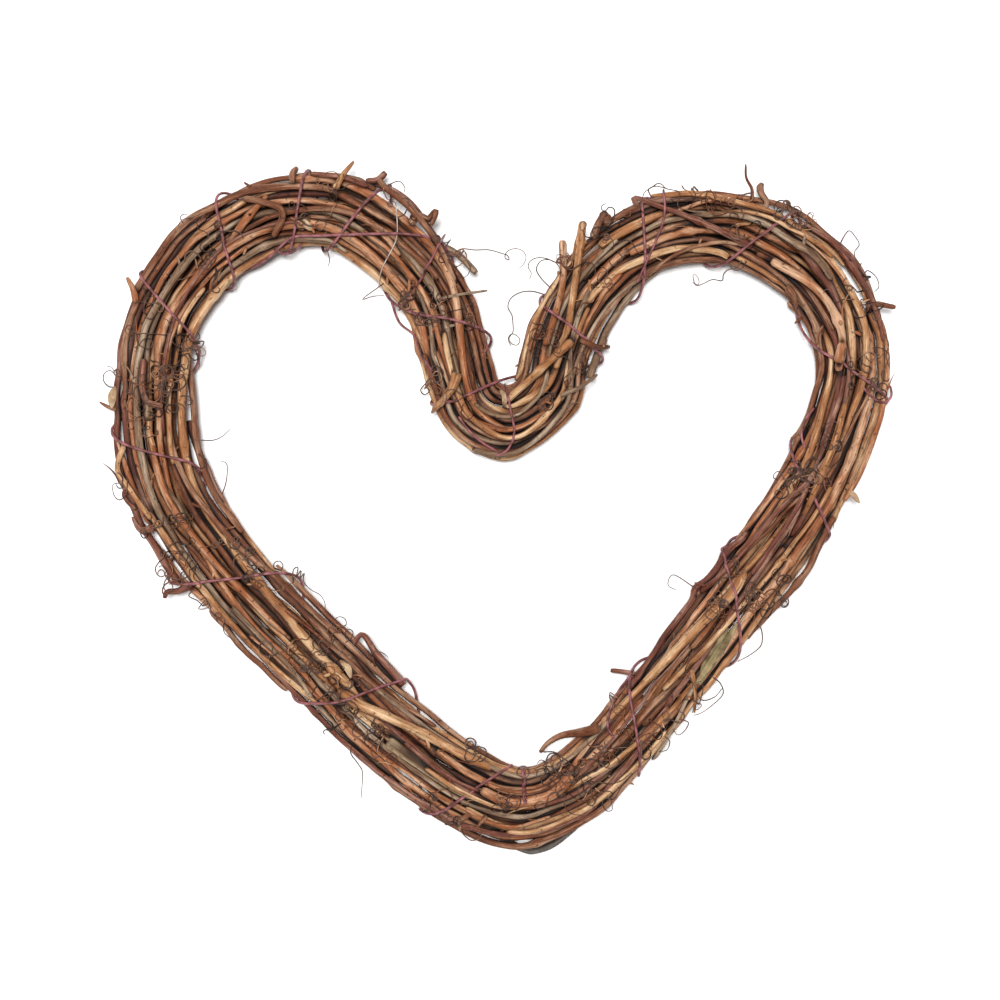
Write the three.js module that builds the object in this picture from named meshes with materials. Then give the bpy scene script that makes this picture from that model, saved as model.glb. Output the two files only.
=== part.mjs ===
// A heart-shaped wreath: long vine stems wound round and round into a loose bundle, bound with thin coated wire.
// It lies flat on its back. Millimetres, +Z up, the tip of the heart towards -Y.
// The origin is at the middle of the underside.
//
// Every piece is placed by three numbers: its share of the way round the heart, clockwise from the tip, its
// offset across the bundle, positive away from the window in the middle, and its height above the ground.

import * as THREE from "three";

// The heart, measured along the middle of the bundle
const HEART_WIDTH = 268;
const HEART_HEIGHT = 226;
const BUNDLE_WIDTH = 31;
const BUNDLE_THICKNESS = 19;

// The stems
const THINNEST_STEM = 2.2;
const THICKEST_STEM = 4.0;
const STEM_TAPER = 0.25;
const STEM_CLEARANCE = 0.3;
const PRESSED_SHARE = 0.35;
const PRESSED_LENGTH = 5;

// The binding and the trim
const WIRE_DIAMETER = 1.1;
const THREAD_DIAMETER = 0.7;
const WIRE_CLEARANCE = 0.3;
const LEAF_THICKNESS = 0.8;

// How far the surface of the bundle falls from its middle to its edges, as a share of a full half circle's fall
const CROWN_FALL = 0.75;

// How finely the curves are cut
const SECTION_STEP = 46;
const SECTION_TURN = THREE.MathUtils.degToRad(36);
const CLOSEST_SECTIONS = 13;
const NEAR_END = 0.05;
const RESTING_MARGIN = 13;
const THICK_SIDES = 5;
const THIN_SIDES = 4;
const THICK_FROM = 0.92;
const WIRE_SIDES = 4;
const BINDING_CORNERS = 8;
const LOOSE_WRAP_CORNERS = 16;

// How hard the wires are drawn tight
const TIGHTENING = 0.1;
const TIGHTENING_ROUNDS = 110;
const CLEARING_ROUNDS = 30;
const PASSES_A_ROUND = 3;

// How hard the stems are settled against each other
const SETTLING_ROUNDS = 220;
const LAST_ROUNDS = 120;
const PULL = 0.06;
const STRAIGHTENING = 0.25;
const SLOPE_ALLOWANCE = 1.02;

// The middle of the bundle, clockwise from the tip: x, y and width as shares of the heart's width and height
// and of the bundle's width
const HEART_OUTLINE = [
  [0.54, 0.0, 0.8],
  [0.457, 0.024, 0.86],
  [0.347, 0.109, 0.88],
  [0.222, 0.256, 0.98],
  [0.098, 0.405, 0.96],
  [0.025, 0.535, 1.0],
  [0.0, 0.687, 1.0],
  [0.027, 0.84, 0.96],
  [0.112, 0.958, 0.9],
  [0.236, 1.0, 0.88],
  [0.351, 0.932, 0.92],
  [0.403, 0.853, 0.86],
  [0.42, 0.803, 0.8],
  [0.448, 0.685, 0.72],
  [0.471, 0.658, 0.72],
  [0.503, 0.648, 0.72],
  [0.534, 0.658, 0.72],
  [0.557, 0.685, 0.72],
  [0.58, 0.78, 0.76],
  [0.605, 0.85, 0.8],
  [0.681, 0.944, 0.82],
  [0.807, 0.982, 0.84],
  [0.926, 0.922, 0.92],
  [0.993, 0.802, 0.8],
  [0.994, 0.689, 0.8],
  [0.946, 0.543, 0.92],
  [0.846, 0.371, 1.0],
  [0.737, 0.207, 0.93],
  [0.664, 0.106, 0.82],
  [0.605, 0.04, 0.8],
];

// Where the binding wire crosses the front: its share of the way round at the window's edge and at the outer edge
const BINDING_CROSSINGS = [
  [0.006, 0.032],
  [0.083, 0.108],
  [0.148, 0.184],
  [0.212, 0.242],
  [0.289, 0.303],
  [0.326, 0.348],
  [0.366, 0.379],
  [0.39, 0.402],
  [0.439, 0.473],
  [0.499, 0.518],
  [0.559, 0.58],
  [0.607, 0.635],
  [0.66, 0.677],
  [0.728, 0.759],
  [0.793, 0.827],
  [0.849, 0.892],
  [0.922, 0.961],
];

// A wire wound lengthwise over the left lobe, and a pale thread: the angle round the bundle in degrees, from the
// window's edge (180) over the top (90) to the outer edge (0), and the share of the way round the heart
const LONG_WRAP = [[225, 0.33], [180, 0.335], [0, 0.444], [-90, 0.455]];
const THREAD_WRAP = [[180, 0.427], [0, 0.405]];

// The long stems, one row each: where the stem starts, how many times it goes round, how thick it is between
// the thinnest (0) and the thickest (1), the side of the bundle that it starts on in degrees, anticlockwise
// from the outer edge, how often it winds round the bundle, and how deep it lies between the core (0)
// and the skin (1). The last two numbers say how far each end springs out past the edge.
const LONG_STEMS = [
  [0.373, 1.052, 0.5, 30, 1.1, 1, 2, 3],
  [0.389, 1.054, 0.3, 60, -0.9, 1, 3, 3],
  [0.605, 1.059, 0.7, 40, 1.2, 1, 4, 6],
  [0.613, 1.057, 0.45, 110, 0.8, 1, 1, 3],
  [0.182, 1.075, 0.35, 20, -1.1, 1, 6, 4],
  [0.019, 1.008, 0.8, 80, 0.9, 1, 0, 2],
  [0.452, 1.145, 0.2, 95, 0.7, 1, 0, 3],
  [0.492, 1.073, 0.9, 150, -0.8, 1, 0, 1],
  [0.551, 1.185, 0.55, 170, 1.0, 1, 4, 2],
  [0.709, 1.1, 0.25, 190, 1.4, 1, 2, 2],
  [0.733, 1.198, 0.6, 10, -0.6, 1, 2, 5],
  [0.3, 1.101, 0.4, 0, 0.9, 1, 3, 5],
  [0.257, 0.954, 0.65, 100, 0.75, 1, 0, 3],
  [0.959, 1.123, 0.75, 130, 0.6, 1, 0, 2],
  [0.05, 1.15, 0.5, 230, 0.8, 1, 0, 0],
  [0.15, 0.9, 1, 275, -0.5, 1, 0, 0],
  [0.48, 1.04, 0.85, 250, 0.3, 1, 0, 0],
  [0.6, 0.95, 0.3, 200, 0.9, 0.35, 0, 0],
  [0.84, 1.1, 0.5, 60, 0.9, 0.35, 0, 0],
  [0.93, 0.97, 0.9, 140, 0.9, 0.4, 0, 0],
  [0.25, 0.92, 0.35, 20, 1.1, 0.5, 0, 0],
];

// Shorter stems that lie over the others: their thickness as above, and the places that they pass, each as a
// share of the way round and a share of half the bundle's width. A place past 1 stands clear of the edge.
const SHORT_STEMS = {
  red_runner: { thick: 0.75, places: [[0.612, 0.85], [0.634, 0.6], [0.664, -0.35], [0.707, -0.5], [0.735, -0.3]] },
  pale_branch: { thick: 0, places: [[0.664, -0.2], [0.685, 0.4], [0.712, 1.0]] },
  crossing_stem: { thick: 0.4, places: [[0.305, -1.0], [0.335, 0.0], [0.362, 0.6]] },
  inner_grey_stem: { thick: 0.2, places: [[0.322, -0.6], [0.36, -0.85], [0.402, -0.7]] },
  diagonal_stick: { thick: 0.6, places: [[0.516, 0.75], [0.54, 0.35], [0.566, -0.5]] },
  left_outrider: { thick: 0.1, places: [[0.255, 0.85], [0.284, 1.15], [0.306, 1.25], [0.337, 0.85]] },
  right_outrider: { thick: 0.15, places: [[0.69, 0.85], [0.704, 1.1], [0.717, 1.35], [0.73, 1.1], [0.744, 0.85]] },
  window_outrider: { thick: 0.2, places: [[0.082, -1.15], [0.124, -1.2], [0.16, -0.95]] },
  tan_crosspiece: { thick: 0.8, places: [[0.068, -0.5], [0.094, 0.4]] },
  forked_twig: { thick: 0.1, places: [[0.205, 0.8], [0.242, 1.0]] },
};

// The grey cane that bows out under the tip, the split stem and the dried leaf blade
const GREY_CANE = { diameter: 3.1, places: [[-0.04, 0.4], [-0.012, 1.0], [0.002, 1.25], [0.016, 1.0], [0.045, 0.3]] };
const SPLIT_STEM = { width: 4.6, flatness: 0.4, places: [[0.02, -0.1], [0.045, 0.1], [0.07, 0.0]] };
const LEAF_BLADE = { width: 4.4, places: [[0.878, 0.25], [0.895, 0.45], [0.912, 0.6]] };

const COLOURS = {
  bark: [0xa86b3c, 0x8d5a36, 0xb5763f, 0x7a4a33, 0x9a6f45],
  grey: 0x8a7460,
  cane: 0x77726c,
  leaf: 0x9a8a5c,
  wire: 0x7b4b4b,
  thread: 0xb9a79c,
};

const BARK_ROUGHNESS = 0.75;
const WIRE_ROUGHNESS = 0.45;

const UP = new THREE.Vector3(0, 0, 1);
const ALMOST_NOTHING = 1e-6;
const wireRoom = WIRE_DIAMETER + 2 * WIRE_CLEARANCE;

// The line of the heart, with the bundle's width carried along as a share

const corner = ([x, y]) => new THREE.Vector3((x - 0.5) * HEART_WIDTH, (y - 0.5) * HEART_HEIGHT, 0);
const heart = new THREE.CatmullRomCurve3(HEART_OUTLINE.map(corner), true, "centripetal");
heart.arcLengthDivisions = 1000;
const heartLength = heart.getLength();

const wrapped = (share) => ((share % 1) + 1) % 1;

function bundleWidthAt(share) {
  const along = heart.getUtoTmapping(wrapped(share)) * HEART_OUTLINE.length;
  const row = Math.floor(along) % HEART_OUTLINE.length;
  const next = (row + 1) % HEART_OUTLINE.length;
  return THREE.MathUtils.lerp(HEART_OUTLINE[row][2], HEART_OUTLINE[next][2], along % 1) * BUNDLE_WIDTH;
}

// The sections: one at each place where the binding turns round an edge, and others between them where the gap
// is long or the heart bends. No wire passes below a front crossing, so the bundle rests on the ground there.

function turningBetween(from, to) {
  return heart.getTangentAt(wrapped(from)).angleTo(heart.getTangentAt(wrapped(to)));
}

function sectionShares() {
  const edges = [];
  for (const share of BINDING_CROSSINGS.flat()) {
    const last = edges.length ? edges[edges.length - 1] : share - 1;
    if ((share - last) * heartLength > CLOSEST_SECTIONS) edges.push(share);
  }
  return edges.flatMap((share, index) => {
    const next = index + 1 < edges.length ? edges[index + 1] : 1 + edges[0];
    const longCuts = Math.ceil(((next - share) * heartLength) / SECTION_STEP);
    const bentCuts = Math.ceil(turningBetween(share, next) / SECTION_TURN);
    const restingCuts = restsOnGround((share + next) / 2) ? 2 : 1;
    const cuts = Math.max(longCuts, bentCuts, restingCuts);
    return Array.from({ length: cuts }, (_, cut) => share + ((next - share) * cut) / cuts);
  });
}

function restsOnGround(share) {
  const margin = RESTING_MARGIN / heartLength;
  return BINDING_CROSSINGS.some(([start, end]) => share - start > margin && end - share > margin);
}

const sections = sectionShares().map((share) => ({
  share,
  centre: heart.getPointAt(wrapped(share)),
  outward: new THREE.Vector3().crossVectors(UP, heart.getTangentAt(wrapped(share))),
  halfWidth: bundleWidthAt(share) / 2,
  resting: restsOnGround(share),
  ground: restsOnGround(share) ? 0 : wireRoom,
}));
const sectionCount = sections.length;
const sectionAt = (index) => sections[((index % sectionCount) + sectionCount) % sectionCount];

// A share of the way round, which may run past one turn, as a count of sections and a fraction
function sectionPosition(share) {
  const turns = Math.floor(share - sections[0].share);
  const inTurn = share - turns;
  let index = sections.findLastIndex((section) => section.share <= inTurn);
  index = Math.max(index, 0);
  const low = sections[index].share;
  const high = index + 1 < sectionCount ? sections[index + 1].share : 1 + sections[0].share;
  return turns * sectionCount + index + (inTurn - low) / (high - low);
}

const placeAt = (section, across, height) =>
  section.centre.clone().addScaledVector(section.outward, across).addScaledVector(UP, height);

// A stem is a row of knots, one in each section that it passes. Its first and last knots may lie past its ends.

const middleHeight = (section) => (section.ground + BUNDLE_THICKNESS) / 2;

function addKnot(stem, index, across, height) {
  const section = sectionAt(index);
  stem.knots.push({ index, section, across, height, wantAcross: across, wantHeight: height, radius: 0 });
}

function setRadii(stem) {
  stem.knots.forEach((knot, index) => {
    const taper = stem.tapered ? STEM_TAPER * (index / stem.knots.length) : 0;
    knot.radius = (stem.diameter / 2) * (1 - taper);
  });
}

function longStem([start, turns, thick, side, winds, depth, startSpring, endSpring], number) {
  const diameter = THREE.MathUtils.lerp(THINNEST_STEM, THICKEST_STEM, thick);
  const from = sectionPosition(start);
  const to = sectionPosition(start + turns);
  const stem = { name: `vine_stem_${String(number + 1).padStart(2, "0")}`, diameter, from, to, knots: [] };
  stem.tapered = true;
  const first = Math.floor(from);
  const last = Math.ceil(to);
  for (let index = first; index <= last; index++) {
    const section = sectionAt(index);
    const passed = (index - first) / sectionCount;
    const angle = THREE.MathUtils.degToRad(side) + winds * 2 * Math.PI * passed;
    const spring = index <= first ? startSpring : index >= last ? endSpring : 0;
    const sideways = depth * (section.halfWidth - diameter / 2) + spring;
    const upright = (depth * (BUNDLE_THICKNESS - section.ground - diameter)) / 2 + spring / 2;
    const height = middleHeight(section) + Math.sin(angle) * upright;
    addKnot(stem, index, Math.cos(angle) * sideways, height);
  }
  setRadii(stem);
  return stem;
}

function alongPlaces(places, share) {
  const next = places.findIndex(([placeShare]) => placeShare > share);
  if (next === 0) return places[0][1];
  if (next < 0) return places[places.length - 1][1];
  const [lowShare, low] = places[next - 1];
  const [highShare, high] = places[next];
  return THREE.MathUtils.lerp(low, high, (share - lowShare) / (highShare - lowShare));
}

// Lies over the other stems, or near the ground when it is low
function shortStem(name, diameter, places, { low = false, flatness = 1 } = {}) {
  const from = sectionPosition(places[0][0]);
  const to = sectionPosition(places[places.length - 1][0]);
  const stem = { name, diameter, flatness, from, to, knots: [] };
  for (let index = Math.floor(from); index <= Math.ceil(to); index++) {
    const section = sectionAt(index);
    const turn = Math.floor(index / sectionCount);
    const share = alongPlaces(places, section.share + turn);
    const across = share * section.halfWidth;
    const crown = BUNDLE_THICKNESS * Math.sqrt(Math.max(0, 1 - Math.min(share * share, 1) * CROWN_FALL));
    const height = low ? section.ground + diameter : crown;
    addKnot(stem, index, across, height);
  }
  setRadii(stem);
  return stem;
}

const stems = LONG_STEMS.map(longStem);
for (const [name, { thick, places }] of Object.entries(SHORT_STEMS)) {
  stems.push(shortStem(name, THREE.MathUtils.lerp(THINNEST_STEM, THICKEST_STEM, thick), places));
}
const greyCane = shortStem("grey_cane", GREY_CANE.diameter, GREY_CANE.places, { low: true });
const splitStem = shortStem("split_stem", SPLIT_STEM.width, SPLIT_STEM.places, { flatness: SPLIT_STEM.flatness });
const leafBlade = shortStem("dried_leaf_blade", LEAF_BLADE.width, LEAF_BLADE.places, {
  flatness: LEAF_THICKNESS / LEAF_BLADE.width,
});
stems.push(greyCane, splitStem, leafBlade);

// Settling: the stems are drawn to where they should run, straightened a little and pushed off each other

const knotPlace = (knot) => placeAt(knot.section, knot.across, knot.height);

// The nearest places on two straight pieces, as shares of their lengths
function nearestShares(startA, endA, startB, endB) {
  const alongA = endA.clone().sub(startA);
  const alongB = endB.clone().sub(startB);
  const apart = startA.clone().sub(startB);
  const lengthA = alongA.lengthSq();
  const lengthB = alongB.lengthSq();
  const mixed = alongA.dot(alongB);
  const towardsA = alongA.dot(apart);
  const towardsB = alongB.dot(apart);
  const crossing = lengthA * lengthB - mixed * mixed;
  const limit = (share) => THREE.MathUtils.clamp(share, 0, 1);
  let shareA = crossing > ALMOST_NOTHING ? limit((mixed * towardsB - towardsA * lengthB) / crossing) : 0.5;
  const shareB = limit((mixed * shareA + towardsB) / lengthB);
  shareA = limit((mixed * shareB - towardsA) / lengthA);
  return [shareA, shareB];
}

function pushKnot(knot, push, amount) {
  knot.across += push.dot(knot.section.outward) * amount;
  knot.height += push.z * amount;
}

function separate(pieceA, pieceB) {
  const [startA, endA] = pieceA.map(knotPlace);
  const [startB, endB] = pieceB.map(knotPlace);
  const [shareA, shareB] = nearestShares(startA, endA, startB, endB);
  const push = startA.lerp(endA, shareA).sub(startB.lerp(endB, shareB));
  const radii =
    THREE.MathUtils.lerp(pieceA[0].radius, pieceA[1].radius, shareA) +
    THREE.MathUtils.lerp(pieceB[0].radius, pieceB[1].radius, shareB);
  const wanted = radii * SLOPE_ALLOWANCE + STEM_CLEARANCE;
  const distance = push.length();
  if (distance >= wanted) return;
  if (distance < ALMOST_NOTHING) push.set(0, 0, 1);
  const weights = (1 - shareA) ** 2 + shareA ** 2 + (1 - shareB) ** 2 + shareB ** 2;
  push.setLength((wanted - distance) / weights);
  pushKnot(pieceA[0], push, 1 - shareA);
  pushKnot(pieceA[1], push, shareA);
  pushKnot(pieceB[0], push, shareB - 1);
  pushKnot(pieceB[1], push, -shareB);
}

function piecesBySection() {
  const pieces = Array.from({ length: sectionCount }, () => []);
  for (const stem of stems) {
    for (let order = 0; order + 1 < stem.knots.length; order++) {
      const slot = ((stem.knots[order].index % sectionCount) + sectionCount) % sectionCount;
      pieces[slot].push({ stem, order, knots: [stem.knots[order], stem.knots[order + 1]] });
    }
  }
  return pieces;
}

function separateAll(pieces) {
  const joined = (a, b) => a.stem === b.stem && Math.abs(a.order - b.order) <= 1;
  pieces.forEach((here, slot) => {
    const ahead = pieces[(slot + 1) % sectionCount];
    here.forEach((piece, rank) => {
      for (const other of here.slice(rank + 1)) separate(piece.knots, other.knots);
      for (const other of ahead) if (!joined(piece, other)) separate(piece.knots, other.knots);
    });
  });
}

function straighten(stem) {
  for (let order = 1; order + 1 < stem.knots.length; order++) {
    const [before, knot, after] = stem.knots.slice(order - 1, order + 2);
    knot.across += STRAIGHTENING * ((before.across + after.across) / 2 - knot.across);
    knot.height += STRAIGHTENING * ((before.height + after.height) / 2 - knot.height);
  }
}

function drawToPlace(knot, pull) {
  knot.across += (knot.wantAcross - knot.across) * pull;
  knot.height += (knot.wantHeight - knot.height) * pull;
}

function pressedHeight(knot) {
  return knot.section.ground + knot.radius * (1 - PRESSED_SHARE);
}

function keepOffGround(knot) {
  const lowest = knot.section.ground + knot.radius;
  knot.height = knot.pressed ? pressedHeight(knot) : Math.max(knot.height, lowest);
}

// The lowest stem of each resting section lies on the ground and is pressed a little flat there
function pressToGround(pieces) {
  sections.forEach((section, slot) => {
    if (!section.resting) return;
    const knots = pieces[slot].filter((piece) => piece.order > 0).map((piece) => piece.knots[0]);
    const lowest = knots.reduce((a, b) => (a.height - a.radius < b.height - b.radius ? a : b));
    lowest.pressed = true;
  });
}

function settle() {
  const pieces = piecesBySection();
  for (let round = 0; round < SETTLING_ROUNDS; round++) {
    const left = 1 - round / SETTLING_ROUNDS;
    for (const stem of stems) {
      straighten(stem);
      stem.knots.forEach((knot) => drawToPlace(knot, PULL * left));
    }
    separateAll(pieces);
    for (const stem of stems) stem.knots.forEach(keepOffGround);
  }
  pressToGround(pieces);
  for (let round = 0; round < LAST_ROUNDS; round++) {
    separateAll(pieces);
    for (const stem of stems) stem.knots.forEach(keepOffGround);
  }
}

settle();

// Rings and tubes

function knotRing(stem, position) {
  const order = Math.min(Math.floor(position - stem.knots[0].index), stem.knots.length - 2);
  const fraction = position - stem.knots[0].index - order;
  const [low, high] = [stem.knots[order], stem.knots[order + 1]];
  return {
    centre: knotPlace(low).lerp(knotPlace(high), fraction),
    sideways: low.section.outward.clone().lerp(high.section.outward, fraction).normalize(),
    upwards: UP,
    radius: THREE.MathUtils.lerp(low.radius, high.radius, fraction),
  };
}

// A pressed knot has a ring either side of it at its own height, so that the flat between them is level
function pressedRings(stem, position) {
  const order = position - stem.knots[0].index;
  const knot = stem.knots[order];
  const lengths = [order - 1, order + 1].map((other) => knotPlace(knot).distanceTo(knotPlace(stem.knots[other])));
  const [before, after] = lengths.map((length) => PRESSED_LENGTH / 2 / length);
  return [position - before, position, position + after].map((place) => {
    const ring = knotRing(stem, place);
    ring.centre.z = knot.height;
    return ring;
  });
}

function stemRings(stem) {
  const positions = [stem.from];
  for (let index = Math.floor(stem.from) + 1; index < stem.to; index++) {
    if (index - stem.from > NEAR_END && stem.to - index > NEAR_END) positions.push(index);
  }
  positions.push(stem.to);
  return positions.flatMap((position) => {
    const knot = stem.knots[position - stem.knots[0].index];
    return knot && knot.pressed ? pressedRings(stem, position) : [knotRing(stem, position)];
  });
}

// One closed skin through the rings, all with as many sides
function tubeThrough(rings, sides, { flatness = 1, turned = 0 } = {}) {
  const vertices = [];
  for (const { centre, sideways, upwards, radius } of rings) {
    for (let side = 0; side < sides; side++) {
      const angle = turned + (2 * Math.PI * side) / sides;
      const vertex = centre
        .clone()
        .addScaledVector(sideways, radius * Math.cos(angle))
        .addScaledVector(upwards, radius * flatness * Math.sin(angle));
      vertex.z = Math.max(vertex.z, 0);
      vertices.push(vertex);
    }
  }
  const faces = [];
  for (let ring = 0; ring + 1 < rings.length; ring++) {
    for (let side = 0; side < sides; side++) {
      const a = ring * sides + side;
      const b = ring * sides + ((side + 1) % sides);
      faces.push(a, b, b + sides, a, b + sides, a + sides);
    }
  }
  const lastRing = (rings.length - 1) * sides;
  for (let side = 1; side + 1 < sides; side++) {
    faces.push(0, side + 1, side);
    faces.push(lastRing, lastRing + side, lastRing + side + 1);
  }
  return new THREE.BufferGeometry().setFromPoints(vertices).setIndex(faces);
}

// Pressed stems have one side facing straight down, and flat pieces have their broad sides up and down
function stemGeometry(stem, number) {
  const sides = stem.diameter > THICK_FROM * THICKEST_STEM ? THICK_SIDES : THIN_SIDES;
  const pressed = stem.knots.some((knot) => knot.pressed);
  const sideDown = Math.PI / sides - Math.PI / 2;
  const turned = stem.flatness < 1 ? 0 : pressed ? sideDown : number;
  return tubeThrough(stemRings(stem), sides, { flatness: stem.flatness, turned });
}

// Wire wound round the bundle: it runs from corner to corner of a loop that stands clear of every stem

function stemsAt(position) {
  const found = [];
  for (const stem of stems) {
    for (let turn = -1; turn <= 2; turn++) {
      const place = position + turn * sectionCount;
      const first = stem.knots[0].index;
      const last = stem.knots[stem.knots.length - 1].index;
      if (place < first || place > last) continue;
      const order = Math.min(Math.floor(place - first), stem.knots.length - 2);
      const fraction = place - first - order;
      const [low, high] = [stem.knots[order], stem.knots[order + 1]];
      found.push({
        across: THREE.MathUtils.lerp(low.across, high.across, fraction),
        height: THREE.MathUtils.lerp(low.height, high.height, fraction),
        radius: THREE.MathUtils.lerp(low.radius, high.radius, fraction),
      });
    }
  }
  return found;
}

function reach(angle, position) {
  const distances = stemsAt(position).map(
    ({ across, height, radius }) => across * Math.cos(angle) + height * Math.sin(angle) + radius,
  );
  return Math.max(...distances);
}

// The loop's corners: each stands where two neighbouring sides meet, and each side clears the stems below it
function wrapPoints({ turnings, diameter, corners }) {
  const step = (2 * Math.PI) / corners;
  const clearance = diameter / 2 + WIRE_CLEARANCE;
  const [firstAngle] = turnings[0];
  const [lastAngle] = turnings[turnings.length - 1];
  const count = Math.round(THREE.MathUtils.degToRad(firstAngle - lastAngle) / step);
  const positionAt = (angle) => {
    const degrees = THREE.MathUtils.radToDeg(angle);
    const next = Math.max(1, turnings.findIndex(([place]) => place <= degrees));
    const [high, highShare] = turnings[next - 1];
    const [low, lowShare] = turnings[next];
    const done = (1 - Math.cos((Math.PI * (high - degrees)) / (high - low))) / 2;
    return sectionPosition(THREE.MathUtils.lerp(highShare, lowShare, THREE.MathUtils.clamp(done, 0, 1)));
  };
  const points = [];
  for (let corner = 0; corner <= count; corner++) {
    const angle = THREE.MathUtils.degToRad(firstAngle) - corner * step;
    const sides = [angle + step / 2, angle - step / 2];
    const distances = sides.map((side) => {
      const places = [-0.5, 0, 0.5].map((offset) => positionAt(side + offset * step));
      return Math.max(...places.map((place) => reach(side, place))) + clearance;
    });
    points.push(cornerPoint(sides, distances, positionAt(angle)));
  }
  return points;
}

// Where two lines meet in a section, each given by its direction and its distance from the heart's line
function cornerPoint([sideA, sideB], [distanceA, distanceB], position) {
  const size = Math.sin(sideB - sideA);
  const across = (distanceA * Math.sin(sideB) - distanceB * Math.sin(sideA)) / size;
  const height = (distanceB * Math.cos(sideA) - distanceA * Math.cos(sideB)) / size;
  return pointAt(position, across, height);
}

function pointAt(position, across, height) {
  const low = sectionAt(Math.floor(position));
  const high = sectionAt(Math.floor(position) + 1);
  return placeAt(low, across, height).lerp(placeAt(high, across, height), position - Math.floor(position));
}

// Draws a wire tight and pushes it off everything that is in place already
function tightenWire(points, wireDiameter, obstacles) {
  for (let round = 0; round < TIGHTENING_ROUNDS + CLEARING_ROUNDS; round++) {
    if (round < TIGHTENING_ROUNDS) {
      points.slice(1, -1).forEach((point, order) => {
        const middle = points[order].clone().add(points[order + 2]).multiplyScalar(0.5);
        point.lerp(middle, TIGHTENING);
      });
    }
    for (let pass = 0; pass < PASSES_A_ROUND; pass++) {
      for (let order = 0; order + 1 < points.length; order++) {
        pushWireOff(points[order], points[order + 1], wireDiameter, obstacles);
      }
    }
    for (const point of points) point.z = Math.max(point.z, wireDiameter / 2);
  }
}

function pushWireOff(start, end, wireDiameter, obstacles) {
  const middle = start.clone().add(end).multiplyScalar(0.5);
  const halfLength = start.distanceTo(end) / 2;
  for (const { from, to, radius, centre, halfSpan } of obstacles) {
    const wanted = radius + wireDiameter / 2 + WIRE_CLEARANCE;
    if (middle.distanceTo(centre) > halfLength + halfSpan + wanted) continue;
    const [here, there] = nearestShares(start, end, from, to);
    const push = start.clone().lerp(end, here).sub(from.clone().lerp(to, there));
    const short = wanted - push.length();
    if (short <= 0) continue;
    push.setLength(short / ((1 - here) ** 2 + here ** 2));
    start.addScaledVector(push, 1 - here);
    end.addScaledVector(push, here);
  }
}

function obstacleBetween(from, to, radius) {
  return { from, to, radius, centre: from.clone().lerp(to, 0.5), halfSpan: from.distanceTo(to) / 2 };
}

function obstaclesOf(points, radius) {
  return points.slice(1).map((to, order) => obstacleBetween(points[order], to, radius));
}

function wireRings(points, wireDiameter) {
  const directions = points.slice(1).map((point, order) => point.clone().sub(points[order]).normalize());
  let sideways = new THREE.Vector3().crossVectors(directions[0], UP).normalize();
  return points.map((centre, order) => {
    const before = directions[Math.max(order - 1, 0)];
    const after = directions[Math.min(order, directions.length - 1)];
    const along = before.clone().add(after).normalize();
    sideways = sideways.clone().projectOnPlane(along).normalize();
    const upwards = new THREE.Vector3().crossVectors(along, sideways);
    return { centre, sideways, upwards, radius: wireDiameter / 2 };
  });
}

const stemObstacles = stems.flatMap((stem) =>
  stem.knots.slice(1).map((knot, order) => {
    const before = stem.knots[order];
    return obstacleBetween(knotPlace(before), knotPlace(knot), Math.max(before.radius, knot.radius));
  }),
);

// From the window's edge (180) over the top (90) to the outer edge (0) and back below
function bindingTurnings() {
  return BINDING_CROSSINGS.flatMap(([inner, outer], turn) => [
    [180 - 360 * turn, inner],
    [-360 * turn, outer],
  ]);
}

const WIRES = [
  {
    name: "binding_wire",
    diameter: WIRE_DIAMETER,
    turnings: bindingTurnings(),
    corners: BINDING_CORNERS,
    colour: COLOURS.wire,
  },
  {
    name: "long_wrap_wire",
    diameter: WIRE_DIAMETER,
    turnings: LONG_WRAP,
    corners: LOOSE_WRAP_CORNERS,
    colour: COLOURS.wire,
  },
  {
    name: "pale_thread",
    diameter: THREAD_DIAMETER,
    turnings: THREAD_WRAP,
    corners: LOOSE_WRAP_CORNERS,
    colour: COLOURS.thread,
  },
];

function layWires() {
  const obstacles = [...stemObstacles];
  return WIRES.map((wire) => {
    const { name, diameter, colour } = wire;
    const points = wrapPoints(wire);
    tightenWire(points, diameter, obstacles);
    obstacles.push(...obstaclesOf(points, diameter / 2));
    return { name, colour, geometry: tubeThrough(wireRings(points, diameter), WIRE_SIDES) };
  });
}

// The scene

function colourOf(stem, number) {
  if (stem === greyCane) return COLOURS.cane;
  if (stem === leafBlade) return COLOURS.leaf;
  if (stem.name.includes("grey")) return COLOURS.grey;
  return COLOURS.bark[number % COLOURS.bark.length];
}

function meshOf(name, geometry, colour, roughness) {
  const mesh = new THREE.Mesh(geometry, new THREE.MeshStandardMaterial({ color: colour, roughness, metalness: 0 }));
  mesh.name = name;
  return mesh;
}

const wreath = new THREE.Group();
stems.forEach((stem, number) => {
  wreath.add(meshOf(stem.name, stemGeometry(stem, number), colourOf(stem, number), BARK_ROUGHNESS));
});
for (const { name, colour, geometry } of layWires()) wreath.add(meshOf(name, geometry, colour, WIRE_ROUGHNESS));

const bounds = new THREE.Box3().setFromObject(wreath);
const middle = bounds.getCenter(new THREE.Vector3());
wreath.position.set(-middle.x, -middle.y, -bounds.min.z);

export default wreath;
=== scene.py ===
import math
import random

import bpy
import numpy as np
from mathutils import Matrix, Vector
from mathutils.kdtree import KDTree


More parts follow.
